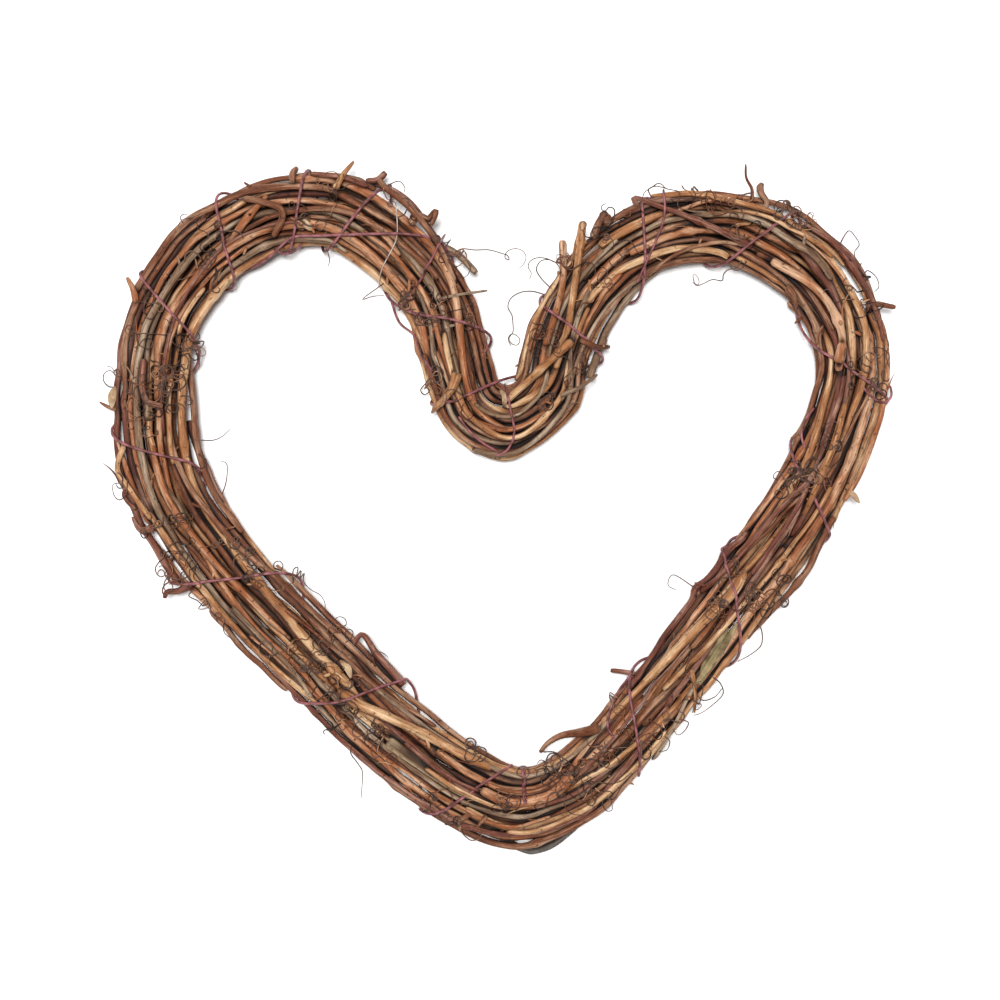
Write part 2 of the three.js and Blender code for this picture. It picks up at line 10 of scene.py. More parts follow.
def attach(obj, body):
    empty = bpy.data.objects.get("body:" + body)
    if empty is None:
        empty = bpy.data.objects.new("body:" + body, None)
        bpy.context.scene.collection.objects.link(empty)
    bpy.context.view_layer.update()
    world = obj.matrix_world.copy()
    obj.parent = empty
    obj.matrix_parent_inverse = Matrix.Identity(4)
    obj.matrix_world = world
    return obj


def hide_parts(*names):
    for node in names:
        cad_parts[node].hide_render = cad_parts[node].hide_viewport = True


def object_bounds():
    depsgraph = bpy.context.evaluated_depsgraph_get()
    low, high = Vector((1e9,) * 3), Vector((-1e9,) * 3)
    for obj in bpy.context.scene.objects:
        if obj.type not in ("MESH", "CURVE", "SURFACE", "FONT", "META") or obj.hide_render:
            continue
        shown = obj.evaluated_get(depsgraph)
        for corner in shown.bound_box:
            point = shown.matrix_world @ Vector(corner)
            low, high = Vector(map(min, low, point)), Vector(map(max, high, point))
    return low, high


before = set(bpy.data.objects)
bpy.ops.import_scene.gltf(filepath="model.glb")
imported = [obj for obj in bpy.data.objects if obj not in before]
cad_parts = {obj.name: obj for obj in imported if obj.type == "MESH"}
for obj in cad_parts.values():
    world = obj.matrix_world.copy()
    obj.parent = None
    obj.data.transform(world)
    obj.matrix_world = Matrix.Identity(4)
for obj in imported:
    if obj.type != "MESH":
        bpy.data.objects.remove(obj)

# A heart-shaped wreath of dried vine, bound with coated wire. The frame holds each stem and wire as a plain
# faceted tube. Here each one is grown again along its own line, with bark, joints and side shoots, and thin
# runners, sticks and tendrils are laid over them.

CAD_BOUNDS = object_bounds()
MM = 0.001
UP = np.array([0.0, 0.0, 1.0])

# How the photograph lies over the part: millimetres in a pixel, and the pixel over the part's origin
PHOTO_MM = 0.3817
PHOTO_ORIGIN = (499.2, 508.7)
PHOTO_SIZE = 1000

# How finely the tubes are made
STEM_STEP = 1.1 * MM
STEM_SIDES = 14
STICK_SIDES = 12
RUNNER_SIDES = 9
WIRE_STEP = 0.9 * MM
WIRE_SIDES = 8
TENDRIL_STEP = 0.6 * MM
TENDRIL_SIDES = 5
SHOOT_SIDES = 7
FLOOR_GAP = 0.02 * MM
ROUNDED_END = 0.72
SAME_CORNER = 0.002 * MM

# Where each kind of piece starts its random draws
SHORT_STEM_SEED = 100
SPLIT_STEM_SEED = 120
RUNNER_SEED = 300
STICK_SEED = 500
EDGE_STEM_SEED = 600
TENDRIL_SEED = 900
LEAF_SEED = 40
HUSK_SEED = 50

# Bark and growth
JOINT_SPACING = (38 * MM, 80 * MM)
JOINT_LENGTH = 2.2 * MM
JOINT_SWELLING = 0.34
SWELLING_SHARES = (0.4, 1.3)
KINK_SPACING = 26 * MM
KINK = 0.75 * MM
WANDER = 0.4 * MM
WANDER_LENGTH = 9 * MM
GIRTH_CHANGE = 0.06
GIRTH_LENGTH = 12 * MM
CREASES_ROUND = (2, 3, 5)
CREASE_DEPTH = 0.08
CREASE_LENGTH = 18 * MM
CREASE_DRIFT = 0.03
CREASE_DRIFT_LENGTH = 30 * MM
SHOOT_LENGTH = (1.2 * MM, 5.5 * MM)
SHRED_LENGTH = (2.5 * MM, 9 * MM)
SHRED_WIDTH = (0.3 * MM, 0.75 * MM)
SHOOTS_ON_STEMS = 0.45
SHOOTS_ON_STICKS = 0.4
SHOOTS_ON_RUNNERS = 0.5
NARROW_END = 7 * MM
LOWEST_SHARE = 0.7

# Sticks laid on the wreath, and stems laid along its edges
TUCK_LENGTH = 7 * MM
STICK_STIFFNESS = 70
EDGE_ROUNDS = 12
EDGE_SMOOTHING = 0.4
EDGE_KINKS = 0.6

# Thin runners that wind over the thick stems
RUNNER_BARKS = ["orange", "brown", "red", "tan", "grey"]
RUNNERS_OF_A_BARK = 7
RUNNER_LENGTH = (40 * MM, 150 * MM)
RUNNER_RADIUS = (0.55 * MM, 1.15 * MM)
RUNNER_DRIFT = 6 * MM
RUNNER_STIFFNESS = 14
RUNNER_DIP = (0.0, 2.5)
RUNNER_DIP_LENGTH = 4 * MM
RUNNER_PATH_STEP = 6
LOWEST_RUNNER = 8 * MM

# Wire and thread: how far its ends are cut back, how often it is drawn tight, and how thick it is
BINDING_SPARE = 7 * MM
WIRE_ROUNDS = 22
WRAP_ROUNDS = 6
WIRE_SMOOTHING = 0.5
LOOSE_WIRE_ROUNDS = 4
LOOSE_WIRE_SMOOTHING = 0.3
THREAD_FIT = 0.55
WIRE_WIDTH = 0.95 * MM
TWIST_TURNS = 5
TWIST_RISE = 2 * MM
STRAND_SHARE = 0.42

# Dried tendrils
TENDRIL_WIDTH = 0.55 * MM
TENDRIL_TAPER = 0.55
TENDRIL_RISE = 3 * MM
TENDRIL_STIFFNESS = 10
CURL_STEP = 0.5 * MM
CURL_LENGTH = (7 * MM, 24 * MM)
CURL_RADIUS = (0.7 * MM, 2.6 * MM)
CURL_THICKNESS = (0.38 * MM, 0.85 * MM)
CURL_LIFT = 1.6 * MM
CURL_WANDER = 0.28
CURL_TURN_SHARE = 0.025
SURFACE_CELL = 0.5 * MM
SURFACE_MARGIN = 8 * MM
EDGE_HEIGHT = 9 * MM
ROOT_HEIGHT = 6 * MM
ROOT_REACH = 9 * MM
ROOT_DEPTH = 1.6 * MM
CURL_SHARE_OUTSIDE = 0.45

# The leaf and the husks
LEAF_STEP = 0.9 * MM
LEAF_WIDTH_SHARE = 0.66
BLADE_THICKNESS = 0.25 * MM
BLADE_COLUMNS = 8
BLADE_CURL = (-0.3, 0.9)
BLADE_FOLD = 0.12
BLADE_WAVE = 0.2
HUSK_STEP = 0.8 * MM
HUSK_REACH = 0.4 * MM
HUSK_RISE = 0.5 * MM

# How closely the stems lie, which sets the shade painted into the bark between them: kept on a coarse grid,
# blurred over about a millimetre and a half, and read a little way outside the bark
CROWD_CELL = 1.0 * MM
CROWD_MARGIN = 15 * MM
CROWD_BLURS = 3
CROWD_LOOK = 1.3 * MM

# The room: a white floor, two lights, and a camera straight above whose picture has the photograph's scale
# at FOCUS_HEIGHT
FLOOR_SIZE = 6
FLOOR_DROP = 0.2 * MM
FLOOR_COLOUR = "#fbfbfb"
SKY_STRENGTH = 0.18
CAMERA_LENS = 90
CAMERA_SENSOR = 36
CAMERA_REACH = 10
FOCUS_HEIGHT = 12 * MM

# Which bark each stem has, in the order of the stems
BARK_ORDER = [
    "orange", "brown", "tan", "orange", "red", "tan", "brown", "orange", "grey", "orange", "tan", "brown",
]


# Small sums on lines

def smooth_line(points, values, step):
    """A line through the points with no corners, cut evenly, with the values carried along."""
    points = np.asarray(points, float)
    gaps = np.sqrt(np.linalg.norm(np.diff(points, axis=0), axis=1)) + 1e-9
    places = np.concatenate([[0], np.cumsum(gaps)])
    before = points[0] * 2 - points[1]
    after = points[-1] * 2 - points[-2]
    padded = np.vstack([before, points, after])
    knots = np.concatenate([[places[0] - gaps[0]], places, [places[-1] + gaps[-1]]])
    fine = []
    fine_places = []
    for row in range(len(points) - 1):
        p0, p1, p2, p3 = padded[row:row + 4]
        t0, t1, t2, t3 = knots[row:row + 4]
        count = max(2, int(np.linalg.norm(p2 - p1) / step) + 1)
        t = np.linspace(t1, t2, count, endpoint=False)[:, None]
        a1 = (t1 - t) / (t1 - t0) * p0 + (t - t0) / (t1 - t0) * p1
        a2 = (t2 - t) / (t2 - t1) * p1 + (t - t1) / (t2 - t1) * p2
        a3 = (t3 - t) / (t3 - t2) * p2 + (t - t2) / (t3 - t2) * p3
        b1 = (t2 - t) / (t2 - t0) * a1 + (t - t0) / (t2 - t0) * a2
        b2 = (t3 - t) / (t3 - t1) * a2 + (t - t1) / (t3 - t1) * a3
        fine.append((t2 - t) / (t2 - t1) * b1 + (t - t1) / (t2 - t1) * b2)
        fine_places.append(t[:, 0])
    fine = np.vstack(fine + [points[-1:]])
    fine_places = np.concatenate(fine_places + [[places[-1]]])
    carried = np.interp(fine_places, places, values)
    lengths = line_lengths(fine)
    even = np.linspace(0, lengths[-1], max(3, int(lengths[-1] / step) + 1))
    line = np.stack([np.interp(even, lengths, fine[:, axis]) for axis in range(3)], axis=1)
    return line, np.interp(even, lengths, carried)


def line_lengths(line):
    return np.concatenate([[0], np.cumsum(np.linalg.norm(np.diff(line, axis=0), axis=1))])


def line_frames(line):
    """For each point the direction along the line, and two directions across it that don't twist."""
    along = np.gradient(line, axis=0)
    along /= np.linalg.norm(along, axis=1)[:, None] + 1e-12
    side = np.cross(along[0], UP)
    if np.linalg.norm(side) < 0.1:
        side = np.cross(along[0], [1.0, 0.0, 0.0])
    sides = []
    for direction in along:
        side = side - direction * np.dot(side, direction)
        side = side / (np.linalg.norm(side) + 1e-12)
        sides.append(side)
    sides = np.array(sides)
    return along, sides, np.cross(along, sides)


def soft_noise(dice, count, step, wavelength):
    """A smooth random walk between -1 and 1, cut at the line's step."""
    knots = max(4, int(count * step / wavelength) + 3)
    values = np.array([dice.uniform(-1, 1) for _ in range(knots)])
    places = np.linspace(0, knots - 1, count)
    low = places.astype(int).clip(0, knots - 2)
    part = places - low
    part = part * part * (3 - 2 * part)
    return values[low] * (1 - part) + values[low + 1] * part


# Tubes. A piece that has cut wood at its ends is bark, and is kept for the shade painted between the stems.

BARK_PIECES = []


class Skin:
    """The faces of one piece, gathered tube by tube."""

    def __init__(self, seed=0):
        self.vertices = []
        self.faces = []
        self.uvs = []
        self.slots = []
        self.dice = random.Random(seed)

    def add_tube(self, line, radii, sides, creases=None, flatness=1.0, end_slot=0):
        start = len(self.vertices)
        rows = len(line)
        lengths = line_lengths(line)
        _, across, upright = line_frames(line)
        angles = np.linspace(0, 2 * math.pi, sides, endpoint=False)
        radii = np.array(radii, float)
        radii[[0, -1]] *= ROUNDED_END
        spread = radii[:, None] * (np.ones((rows, sides)) if creases is None else creases)
        rings = (
            line[:, None, :]
            + across[:, None, :] * (spread * np.cos(angles))[:, :, None]
            + upright[:, None, :] * (spread * flatness * np.sin(angles))[:, :, None]
        )
        rings[:, :, 2] = np.maximum(rings[:, :, 2], FLOOR_GAP)
        self.vertices.extend(rings.reshape(-1, 3).tolist())
        row, side = np.meshgrid(np.arange(rows - 1), np.arange(sides), indexing="ij")
        here = start + row * sides
        turned = (side + 1) % sides
        quads = np.stack([here + side, here + turned, here + sides + turned, here + sides + side], axis=-1)
        self.faces.extend(quads.reshape(-1, 4).tolist())
        # The pattern starts at a different place on every tube, so neighbours don't match
        origin = np.array([self.dice.uniform(0, 1), self.dice.uniform(0, 1)])
        girth = 2 * math.pi * float(np.mean(radii)) / sides
        low, high = lengths[row], lengths[row + 1]
        left, right = side * girth, (side + 1) * girth
        corners = np.stack([left, low, right, low, right, high, left, high], axis=-1).reshape(-1, 2)
        self.uvs.extend((corners + origin).tolist())
        last = start + (rows - 1) * sides
        self.faces.append([start + turn for turn in reversed(range(sides))])
        self.faces.append([last + turn for turn in range(sides)])
        for radius in (radii[0], radii[-1]):
            self.uvs.extend([[radius * math.cos(angle), radius * math.sin(angle)] for angle in angles])
        self.slots.extend([0] * ((rows - 1) * sides) + [end_slot, end_slot])

    def make(self, name, materials):
        mesh = bpy.data.meshes.new(name)
        mesh.from_pydata(self.vertices, [], self.faces)
        layer = mesh.uv_layers.new(name="UVMap")
        layer.data.foreach_set("uv", np.array(self.uvs, dtype=np.float32).ravel())
        mesh.polygons.foreach_set("material_index", self.slots)
        mesh.polygons.foreach_set("use_smooth", [len(face) == 4 for face in self.faces])
        for material in materials:
            mesh.materials.append(material)
        mesh.update()
        piece = bpy.data.objects.new(name, mesh)
        bpy.context.scene.collection.objects.link(piece)
        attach(piece, "root")
        if materials[-1] == CUT_WOOD:
            BARK_PIECES.append(piece)
        return piece


# Reading a plain tube of the frame: its rings, from one end to the other. Corners at its two ends have fewer
# than six neighbours, apart from one that the triangles of the end may all share, which is added afterwards.

def node_rings(name):
    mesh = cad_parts[name].data
    corners = np.empty(len(mesh.vertices) * 3)
    mesh.vertices.foreach_get("co", corners)
    corners = corners.reshape(-1, 3)
    places, merged = np.unique(np.round(corners / SAME_CORNER).astype(int), axis=0, return_inverse=True)
    places = places * SAME_CORNER
    merged = merged.reshape(-1)
    mesh.calc_loop_triangles()
    neighbours = [set() for _ in places]
    for triangle in mesh.loop_triangles:
        a, b, c = (merged[corner] for corner in triangle.vertices)
        neighbours[a].update((b, c))
        neighbours[b].update((a, c))
        neighbours[c].update((a, b))
    ends = {vertex for vertex, around in enumerate(neighbours) if len(around) < 6}
    first = min(ends)
    ring = {first}
    growing = [first]
    while growing:
        for other in neighbours[growing.pop()] & ends - ring:
            ring.add(other)
            growing.append(other)
    ring |= {vertex for vertex, around in enumerate(neighbours) if len(around & ring) > 2}
    seen = set(ring)
    centres = []
    radii = []
    while ring:
        points = places[sorted(ring)]
        centre = points.mean(axis=0)
        centres.append(centre)
        radii.append(np.linalg.norm(points - centre, axis=1).max())
        ring = set().union(*(neighbours[vertex] for vertex in ring)) - seen
        seen |= ring
    return np.array(centres), np.array(radii)


# Colours and materials

def linear(hex_colour):
    """An sRGB hex colour as linear red, green, blue and alpha."""
    channels = [int(hex_colour[at:at + 2], 16) / 255 for at in (1, 3, 5)]
    return tuple(c / 12.92 if c <= 0.04045 else ((c + 0.055) / 1.055) ** 2.4 for c in channels) + (1.0,)


def add_node(material, kind, settings=None, links=None, steps=()):
    """Adds a node with its settings, links from (node, output) pairs, and a ramp's colour steps."""
    node = material.node_tree.nodes.new("ShaderNode" + kind)
    for key, value in (settings or {}).items():
        if isinstance(key, int) or key in node.inputs:
            node.inputs[key].default_value = value
        else:
            setattr(node, key, value)
    for key, (source, output) in (links or {}).items():
        material.node_tree.links.new(source.outputs[output], node.inputs[key])
    for index, (place, colour) in enumerate(steps):
        elements = node.color_ramp.elements
        element = elements[index] if index < len(elements) else elements.new(place)
        element.position = place
        element.color = linear(colour)
    return node


def new_material(name):
    material = bpy.data.materials.new(name)
    material.use_nodes = True
    material.node_tree.nodes.clear()
    return material


def finish_surface(material, colour, height, bump, depth, gloss, links=None):
    """Ends a material with its relief, its shader and what the shader is told about gloss."""
    relief = add_node(material, "Bump", {"Strength": bump, "Distance": depth}, {"Height": height})
    shader = add_node(
        material, "BsdfPrincipled", gloss,
        {"Base Color": colour, "Normal": (relief, 0), **(links or {})},
    )
    add_node(material, "OutputMaterial", links={"Surface": (shader, 0)})
    return material


# Bark of dried vine: it splits into long fibres, so its colour and relief run along the stem in streaks about
# a millimetre wide. Longer patches are redder or worn to paler wood, and buds have left small dark scars.
# Shade is painted into the colour where the stems lie close: bark deep between them is darkened towards near
# black, in place of the shade that falls there. Each pattern has its width round the stem, its length along
# it, its detail and its roughness.
BARK_PATTERNS = {
    "streaks": (0.8 * MM, 15 * MM, 4.0, 0.65),
    "fibres": (0.3 * MM, 4 * MM, 2.0, 0.6),
    "patches": (6 * MM, 26 * MM, 4.0, 0.65),
}


def dried_bark(name, shade, body, light, worn):
    material = new_material(name)
    surface = add_node(material, "UVMap", {"uv_map": "UVMap"})
    place = add_node(material, "TexCoord")
    patterns = {}
    for pattern, (width, length, detail, roughness) in BARK_PATTERNS.items():
        stretched = add_node(
            material, "Mapping", {"Scale": (1 / width, 1 / length, 1)}, {"Vector": (surface, 0)}
        )
        patterns[pattern] = add_node(
            material, "TexNoise", {"Scale": 1.0, "Detail": detail, "Roughness": roughness},
            {"Vector": (stretched, 0)},
        )
    scars = add_node(
        material, "TexNoise", {"Scale": 1 / (1.7 * MM), "Detail": 3.0, "Roughness": 0.6},
        {"Vector": (place, "Object")},
    )
    crowding = add_node(material, "Attribute", {"attribute_name": "crowding"})
    grain = add_node(
        material, "Math", {"operation": "MULTIPLY_ADD", 1: 0.45},
        {0: (patterns["fibres"], 0), 2: (patterns["streaks"], 0)},
    )
    fresh = add_node(
        material, "ValToRGB", {}, {"Fac": (grain, 0)},
        [(0.52, shade), (0.66, body), (0.79, body), (0.95, light)],
    )
    dull = add_node(
        material, "ValToRGB", {}, {"Fac": (grain, 0)}, [(0.5, shade), (0.68, worn), (0.92, light)]
    )
    worn_places = add_node(
        material, "ValToRGB", {}, {"Fac": (patterns["patches"], 0)},
        [(0.47, "#000000"), (0.62, "#ffffff")],
    )
    reddened = add_node(
        material, "ValToRGB", {}, {"Fac": (patterns["patches"], 0)},
        [(0.3, "#93705d"), (0.42, "#e3cdb8"), (0.6, "#ffffff")],
    )
    scarred = add_node(
        material, "ValToRGB", {}, {"Fac": (scars, 0)}, [(0.29, "#2c1812"), (0.4, "#ffffff")]
    )
    # Painted shade: where the stems lie close, the bark is darkened towards near black, standing in for the
    # shade that falls between them
    painted_shade_between_stems = add_node(
        material, "ValToRGB", {}, {"Fac": (crowding, "Fac")},
        [(0.165, "#ffffff"), (0.34, "#806a5a"), (0.465, "#1c120d")],
    )
    bark = add_node(
        material, "Mix", {"data_type": "RGBA"}, {0: (worn_places, 0), 6: (fresh, 0), 7: (dull, 0)}
    )
    for share, layer in ((0.8, reddened), (0.8, scarred), (1.0, painted_shade_between_stems)):
        bark = add_node(
            material, "Mix", {"data_type": "RGBA", "blend_type": "MULTIPLY", 0: share},
            {6: (bark, 2), 7: (layer, 0)},
        )
    dullness = add_node(
        material, "MapRange", {"To Min": 0.5, "To Max": 0.85}, {"Value": (patterns["fibres"], 0)}
    )
    return finish_surface(
        material, (bark, 2), (grain, 0), 0.9, 0.4 * MM, {"Specular IOR Level": 0.35, "IOR": 1.45},
        {"Roughness": (dullness, 0)},
    )


# The cut end of a stem: pale dry wood with darker pith, cut with secateurs and dulled by dust
def cut_wood(name):
    material = new_material(name)
    place = add_node(material, "TexCoord")
    grain = add_node(
        material, "TexNoise", {"Scale": 1 / (0.5 * MM), "Detail": 3.0},
        {"Vector": (place, "Object")},
    )
    colours = add_node(
        material, "ValToRGB", {}, {"Fac": (grain, 0)},
        [(0.3, "#5d3d2b"), (0.55, "#a07a58"), (0.75, "#c7a67e")],
    )
    gloss = {"Roughness": 0.85, "Specular IOR Level": 0.25}
    return finish_surface(material, (colours, 0), (grain, 0), 0.5, 0.2 * MM, gloss)


# Dried plant matter with no bark to speak of, such as a tendril, a leaf or a husk: dull and finely wrinkled,
# in one family of colours, with darker veins that run along it
def dried_plant(name, dark, light, wrinkle):
    material = new_material(name)
    surface = add_node(material, "UVMap", {"uv_map": "UVMap"})
    place = add_node(material, "TexCoord")
    vein_map = add_node(
        material, "Mapping", {"Scale": (1 / wrinkle, 0.08 / wrinkle, 1)},
        {"Vector": (surface, 0)},
    )
    veins = add_node(
        material, "TexNoise", {"Scale": 1.0, "Detail": 2.0}, {"Vector": (vein_map, 0)}
    )
    tone = add_node(
        material, "TexNoise", {"Scale": 1 / (5 * MM), "Detail": 4.0},
        {"Vector": (place, "Object")},
    )
    mixed = add_node(
        material, "Math", {"operation": "MULTIPLY_ADD", 1: 0.6}, {0: (veins, 0), 2: (tone, 0)}
    )
    colours = add_node(
        material, "ValToRGB", {}, {"Fac": (mixed, 0)}, [(0.6, dark), (0.95, light)]
    )
    gloss = {"Roughness": 0.8, "Specular IOR Level": 0.3}
    return finish_surface(material, (colours, 0), (veins, 0), 0.6, 0.15 * MM, gloss)


# Craft wire wound with dyed paper: a steel core that doesn't show, and a reddish-brown skin whose winding
# shows as fine slanting lines, with a dull shine on top and worn paler where it rubs
def paper_wire(name, dark, light, winding):
    material = new_material(name)
    surface = add_node(material, "UVMap", {"uv_map": "UVMap"})
    place = add_node(material, "TexCoord")
    slant = add_node(
        material, "Mapping",
        {"Scale": (0.35 / winding, 1 / winding, 1), "Rotation": (0, 0, 0.5)}, {"Vector": (surface, 0)},
    )
    lines = add_node(
        material, "TexWave", {"Scale": 1.0, "Distortion": 1.5, "Detail": 1.0},
        {"Vector": (slant, 0)},
    )
    wear = add_node(
        material, "TexNoise", {"Scale": 1 / (3 * MM), "Detail": 3.0},
        {"Vector": (place, "Object")},
    )
    colours = add_node(
        material, "ValToRGB", {}, {"Fac": (wear, 0)}, [(0.35, dark), (0.7, light)]
    )
    gloss = {"Roughness": 0.5, "Specular IOR Level": 0.5}
    return finish_surface(material, (colours, 0), (lines, 0), 0.35, 0.12 * MM, gloss)


BARKS = {
    "orange": dried_bark("dried_vine_bark_orange", "#33190e", "#9a613d", "#dbac8a", "#b28c6e"),
    "brown": dried_bark("dried_vine_bark_brown", "#28140d", "#74472f", "#bd9275", "#8c6950"),
    "tan": dried_bark("dried_vine_bark_tan", "#452a1a", "#a4744c", "#e4bf9b", "#be9a72"),
    "red": dried_bark("dried_vine_bark_red", "#26110b", "#6e3f31", "#ad826f", "#866353"),
    "grey": dried_bark("dried_vine_bark_grey", "#2f231b", "#7f6854", "#bba48c", "#99836d"),
    "pale": dried_bark("split_vine_wood", "#6d5943", "#a38d70", "#cbb999", "#b3a082"),
    "cane": dried_bark("weathered_grey_cane", "#2c2a28", "#5a5753", "#88847f", "#74706b"),
}
CUT_WOOD = cut_wood("cut_vine_wood")
TENDRIL_SKIN = dried_plant("dried_tendril", "#1f1512", "#6b5043", 0.4 * MM)
LEAF_SKIN = dried_plant("dried_leaf", "#53422b", "#a08e68", 0.7 * MM)
HUSK_SKIN = dried_plant("dried_husk", "#7c5c42", "#c9ae8c", 0.7 * MM)
WIRE_SKIN = paper_wire("paper_covered_wire", "#572a2b", "#9f6064", 0.5 * MM)
THREAD_SKIN = paper_wire("pale_cotton_thread", "#a3968d", "#d6ccc3", 0.3 * MM)


# The stems

STEM_LINES = []


def joint_places(dice, length):
    places = []
    place = dice.uniform(0.2, 1.0) * JOINT_SPACING[1]
    while place < length - 4 * MM:
        places.append(place)
        place += dice.uniform(*JOINT_SPACING)
    return places


def kinked(line, dice, amount):
    """Bends a stem a little every few centimetres, as vine grows, and lets it wander in between."""
    _, across, upright = line_frames(line)
    lengths = line_lengths(line)
    places = np.arange(0, lengths[-1] + KINK_SPACING, KINK_SPACING)
    sideways = np.interp(lengths, places, [dice.uniform(-1, 1) for _ in places]) * KINK
    lifting = np.interp(lengths, places, [dice.uniform(-0.5, 0.5) for _ in places]) * KINK
    sideways += soft_noise(dice, len(line), STEM_STEP, WANDER_LENGTH) * WANDER
    return line + across * (sideways * amount)[:, None] + upright * (lifting * amount)[:, None]


def stem_creases(dice, count, sides):
    """Long shallow furrows that drift round the stem."""
    angles = np.linspace(0, 2 * math.pi, sides, endpoint=False)
    creases = np.ones((count, sides))
    for waves in CREASES_ROUND:
        start = dice.uniform(0, 2 * math.pi)
        drift = CREASE_DRIFT * np.cumsum(soft_noise(dice, count, STEM_STEP, CREASE_DRIFT_LENGTH))
        phase = start + drift
        depth = CREASE_DEPTH * (0.6 + 0.4 * soft_noise(dice, count, STEM_STEP, CREASE_LENGTH))
        creases += (depth[:, None] / waves ** 0.5) * np.sin(waves * angles[None, :] + phase[:, None])
    return creases


def outward_at(frames, row, dice):
    """A direction away from the stem, more often upwards than down."""
    turn = dice.uniform(0, 2 * math.pi)
    outward = frames[1][row] * math.cos(turn) + frames[2][row] * math.sin(turn)
    if outward[2] < 0 and dice.random() < 0.8:
        outward = -outward
    return outward


def side_shoot(skin, line, frames, row, radius, dice):
    """The stub of a side shoot at a joint: short, tapered and broken off."""
    outward = outward_at(frames, row, dice)
    lean = frames[0][row] * dice.uniform(-1.1, 1.1)
    shares = np.linspace(0, 1, 5)[:, None]
    length = dice.uniform(*SHOOT_LENGTH)
    points = line[row] + outward * (radius * 0.4) + (outward + lean) * length * shares
    thickness = radius * dice.uniform(0.25, 0.55) * (1 - 0.45 * shares[:, 0])
    skin.add_tube(points, thickness, SHOOT_SIDES, end_slot=1)


def bark_shred(skin, line, frames, row, radius, dice):
    """A shred of bark that has split off and curls away from its stem."""
    outward = outward_at(frames, row, dice)
    along = frames[0][row] * dice.choice((-1, 1))
    shares = np.linspace(0, 1, 7)[:, None]
    length = dice.uniform(*SHRED_LENGTH)
    curl = dice.uniform(0.15, 0.7) * length
    sideways = np.cross(along, outward) * dice.uniform(-0.4, 0.4) * length
    points = line[row] + outward * radius * 0.9 + along * length * shares
    points = points + outward * curl * shares ** 2 + sideways * shares ** 2
    width = dice.uniform(*SHRED_WIDTH) * (1 - 0.75 * shares[:, 0])
    skin.add_tube(points, width, SHOOT_SIDES, flatness=0.35)


def add_bark(skin, line, radii, dice, sides, shoots, flatness=1.0):
    """Adds one stem to a skin, with creases, swollen joints, side shoots and shreds. Returns its radii."""
    lengths = line_lengths(line)
    joints = joint_places(dice, lengths[-1])
    for place in joints:
        swelling = np.exp(-(((lengths - place) / JOINT_LENGTH) ** 2))
        share = dice.uniform(*SWELLING_SHARES)
        radii = radii * (1 + share * JOINT_SWELLING * swelling)
    radii = radii * (1 + GIRTH_CHANGE * soft_noise(dice, len(line), STEM_STEP, GIRTH_LENGTH))
    skin.add_tube(line, radii, sides, stem_creases(dice, len(line), sides), flatness, end_slot=1)
    frames = line_frames(line)
    for place in joints:
        row = min(int(place / lengths[-1] * len(line)), len(line) - 1)
        if dice.random() < shoots:
            side_shoot(skin, line, frames, row, radii[row], dice)
        if dice.random() < shoots:
            bark_shred(skin, line, frames, row, radii[row], dice)
    return radii


def from_the_ends(line):
    """How far each point of a line is from the nearer end."""
    lengths = line_lengths(line)
    return np.minimum(lengths, lengths[-1] - lengths)


def grown_stem(node_name, bark, seed, kinks=1.0, flatness=1.0, shoots=SHOOTS_ON_STEMS, narrowing=0.0):
    """Grows a stem of the frame again along its own line, and stands for it."""
    dice = random.Random(seed)
    centres, radii = node_rings(node_name)
    line, radii = smooth_line(centres, radii, STEM_STEP)
    radii = radii * (1 - narrowing * np.exp(-((from_the_ends(line) / NARROW_END) ** 2)))
    line = kinked(line, dice, kinks)
    line[:, 2] = np.maximum(line[:, 2], radii * LOWEST_SHARE)
    skin = Skin(seed)
    radii = add_bark(skin, line, radii, dice, STEM_SIDES, shoots, flatness)
    STEM_LINES.append((line, radii))
    piece = skin.make("grown_" + node_name, [BARKS[bark], CUT_WOOD])
    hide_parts(node_name)


LONG_STEMS = sorted(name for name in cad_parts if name.startswith("vine_stem_"))
for number, stem_name in enumerate(LONG_STEMS):
    grown_stem(stem_name, BARK_ORDER[number % len(BARK_ORDER)], number)
LONG_STEM_LINES = list(STEM_LINES)

SHORT_STEMS = {
    "red_runner": "red",
    "pale_branch": "tan",
    "crossing_stem": "orange",
    "inner_grey_stem": "grey",
    "diagonal_stick": "tan",
    "left_outrider": "brown",
    "right_outrider": "red",
    "window_outrider": "brown",
    "tan_crosspiece": "tan",
    "forked_twig": "orange",
    "grey_cane": "cane",
}
for number, (stem_name, bark) in enumerate(SHORT_STEMS.items()):
    grown_stem(stem_name, bark, SHORT_STEM_SEED + number, kinks=0.6, narrowing=0.5)
grown_stem("split_stem", "pale", SPLIT_STEM_SEED, kinks=0.4, flatness=0.45, shoots=0.0)


# The upper side of the wreath, on which everything thin lies

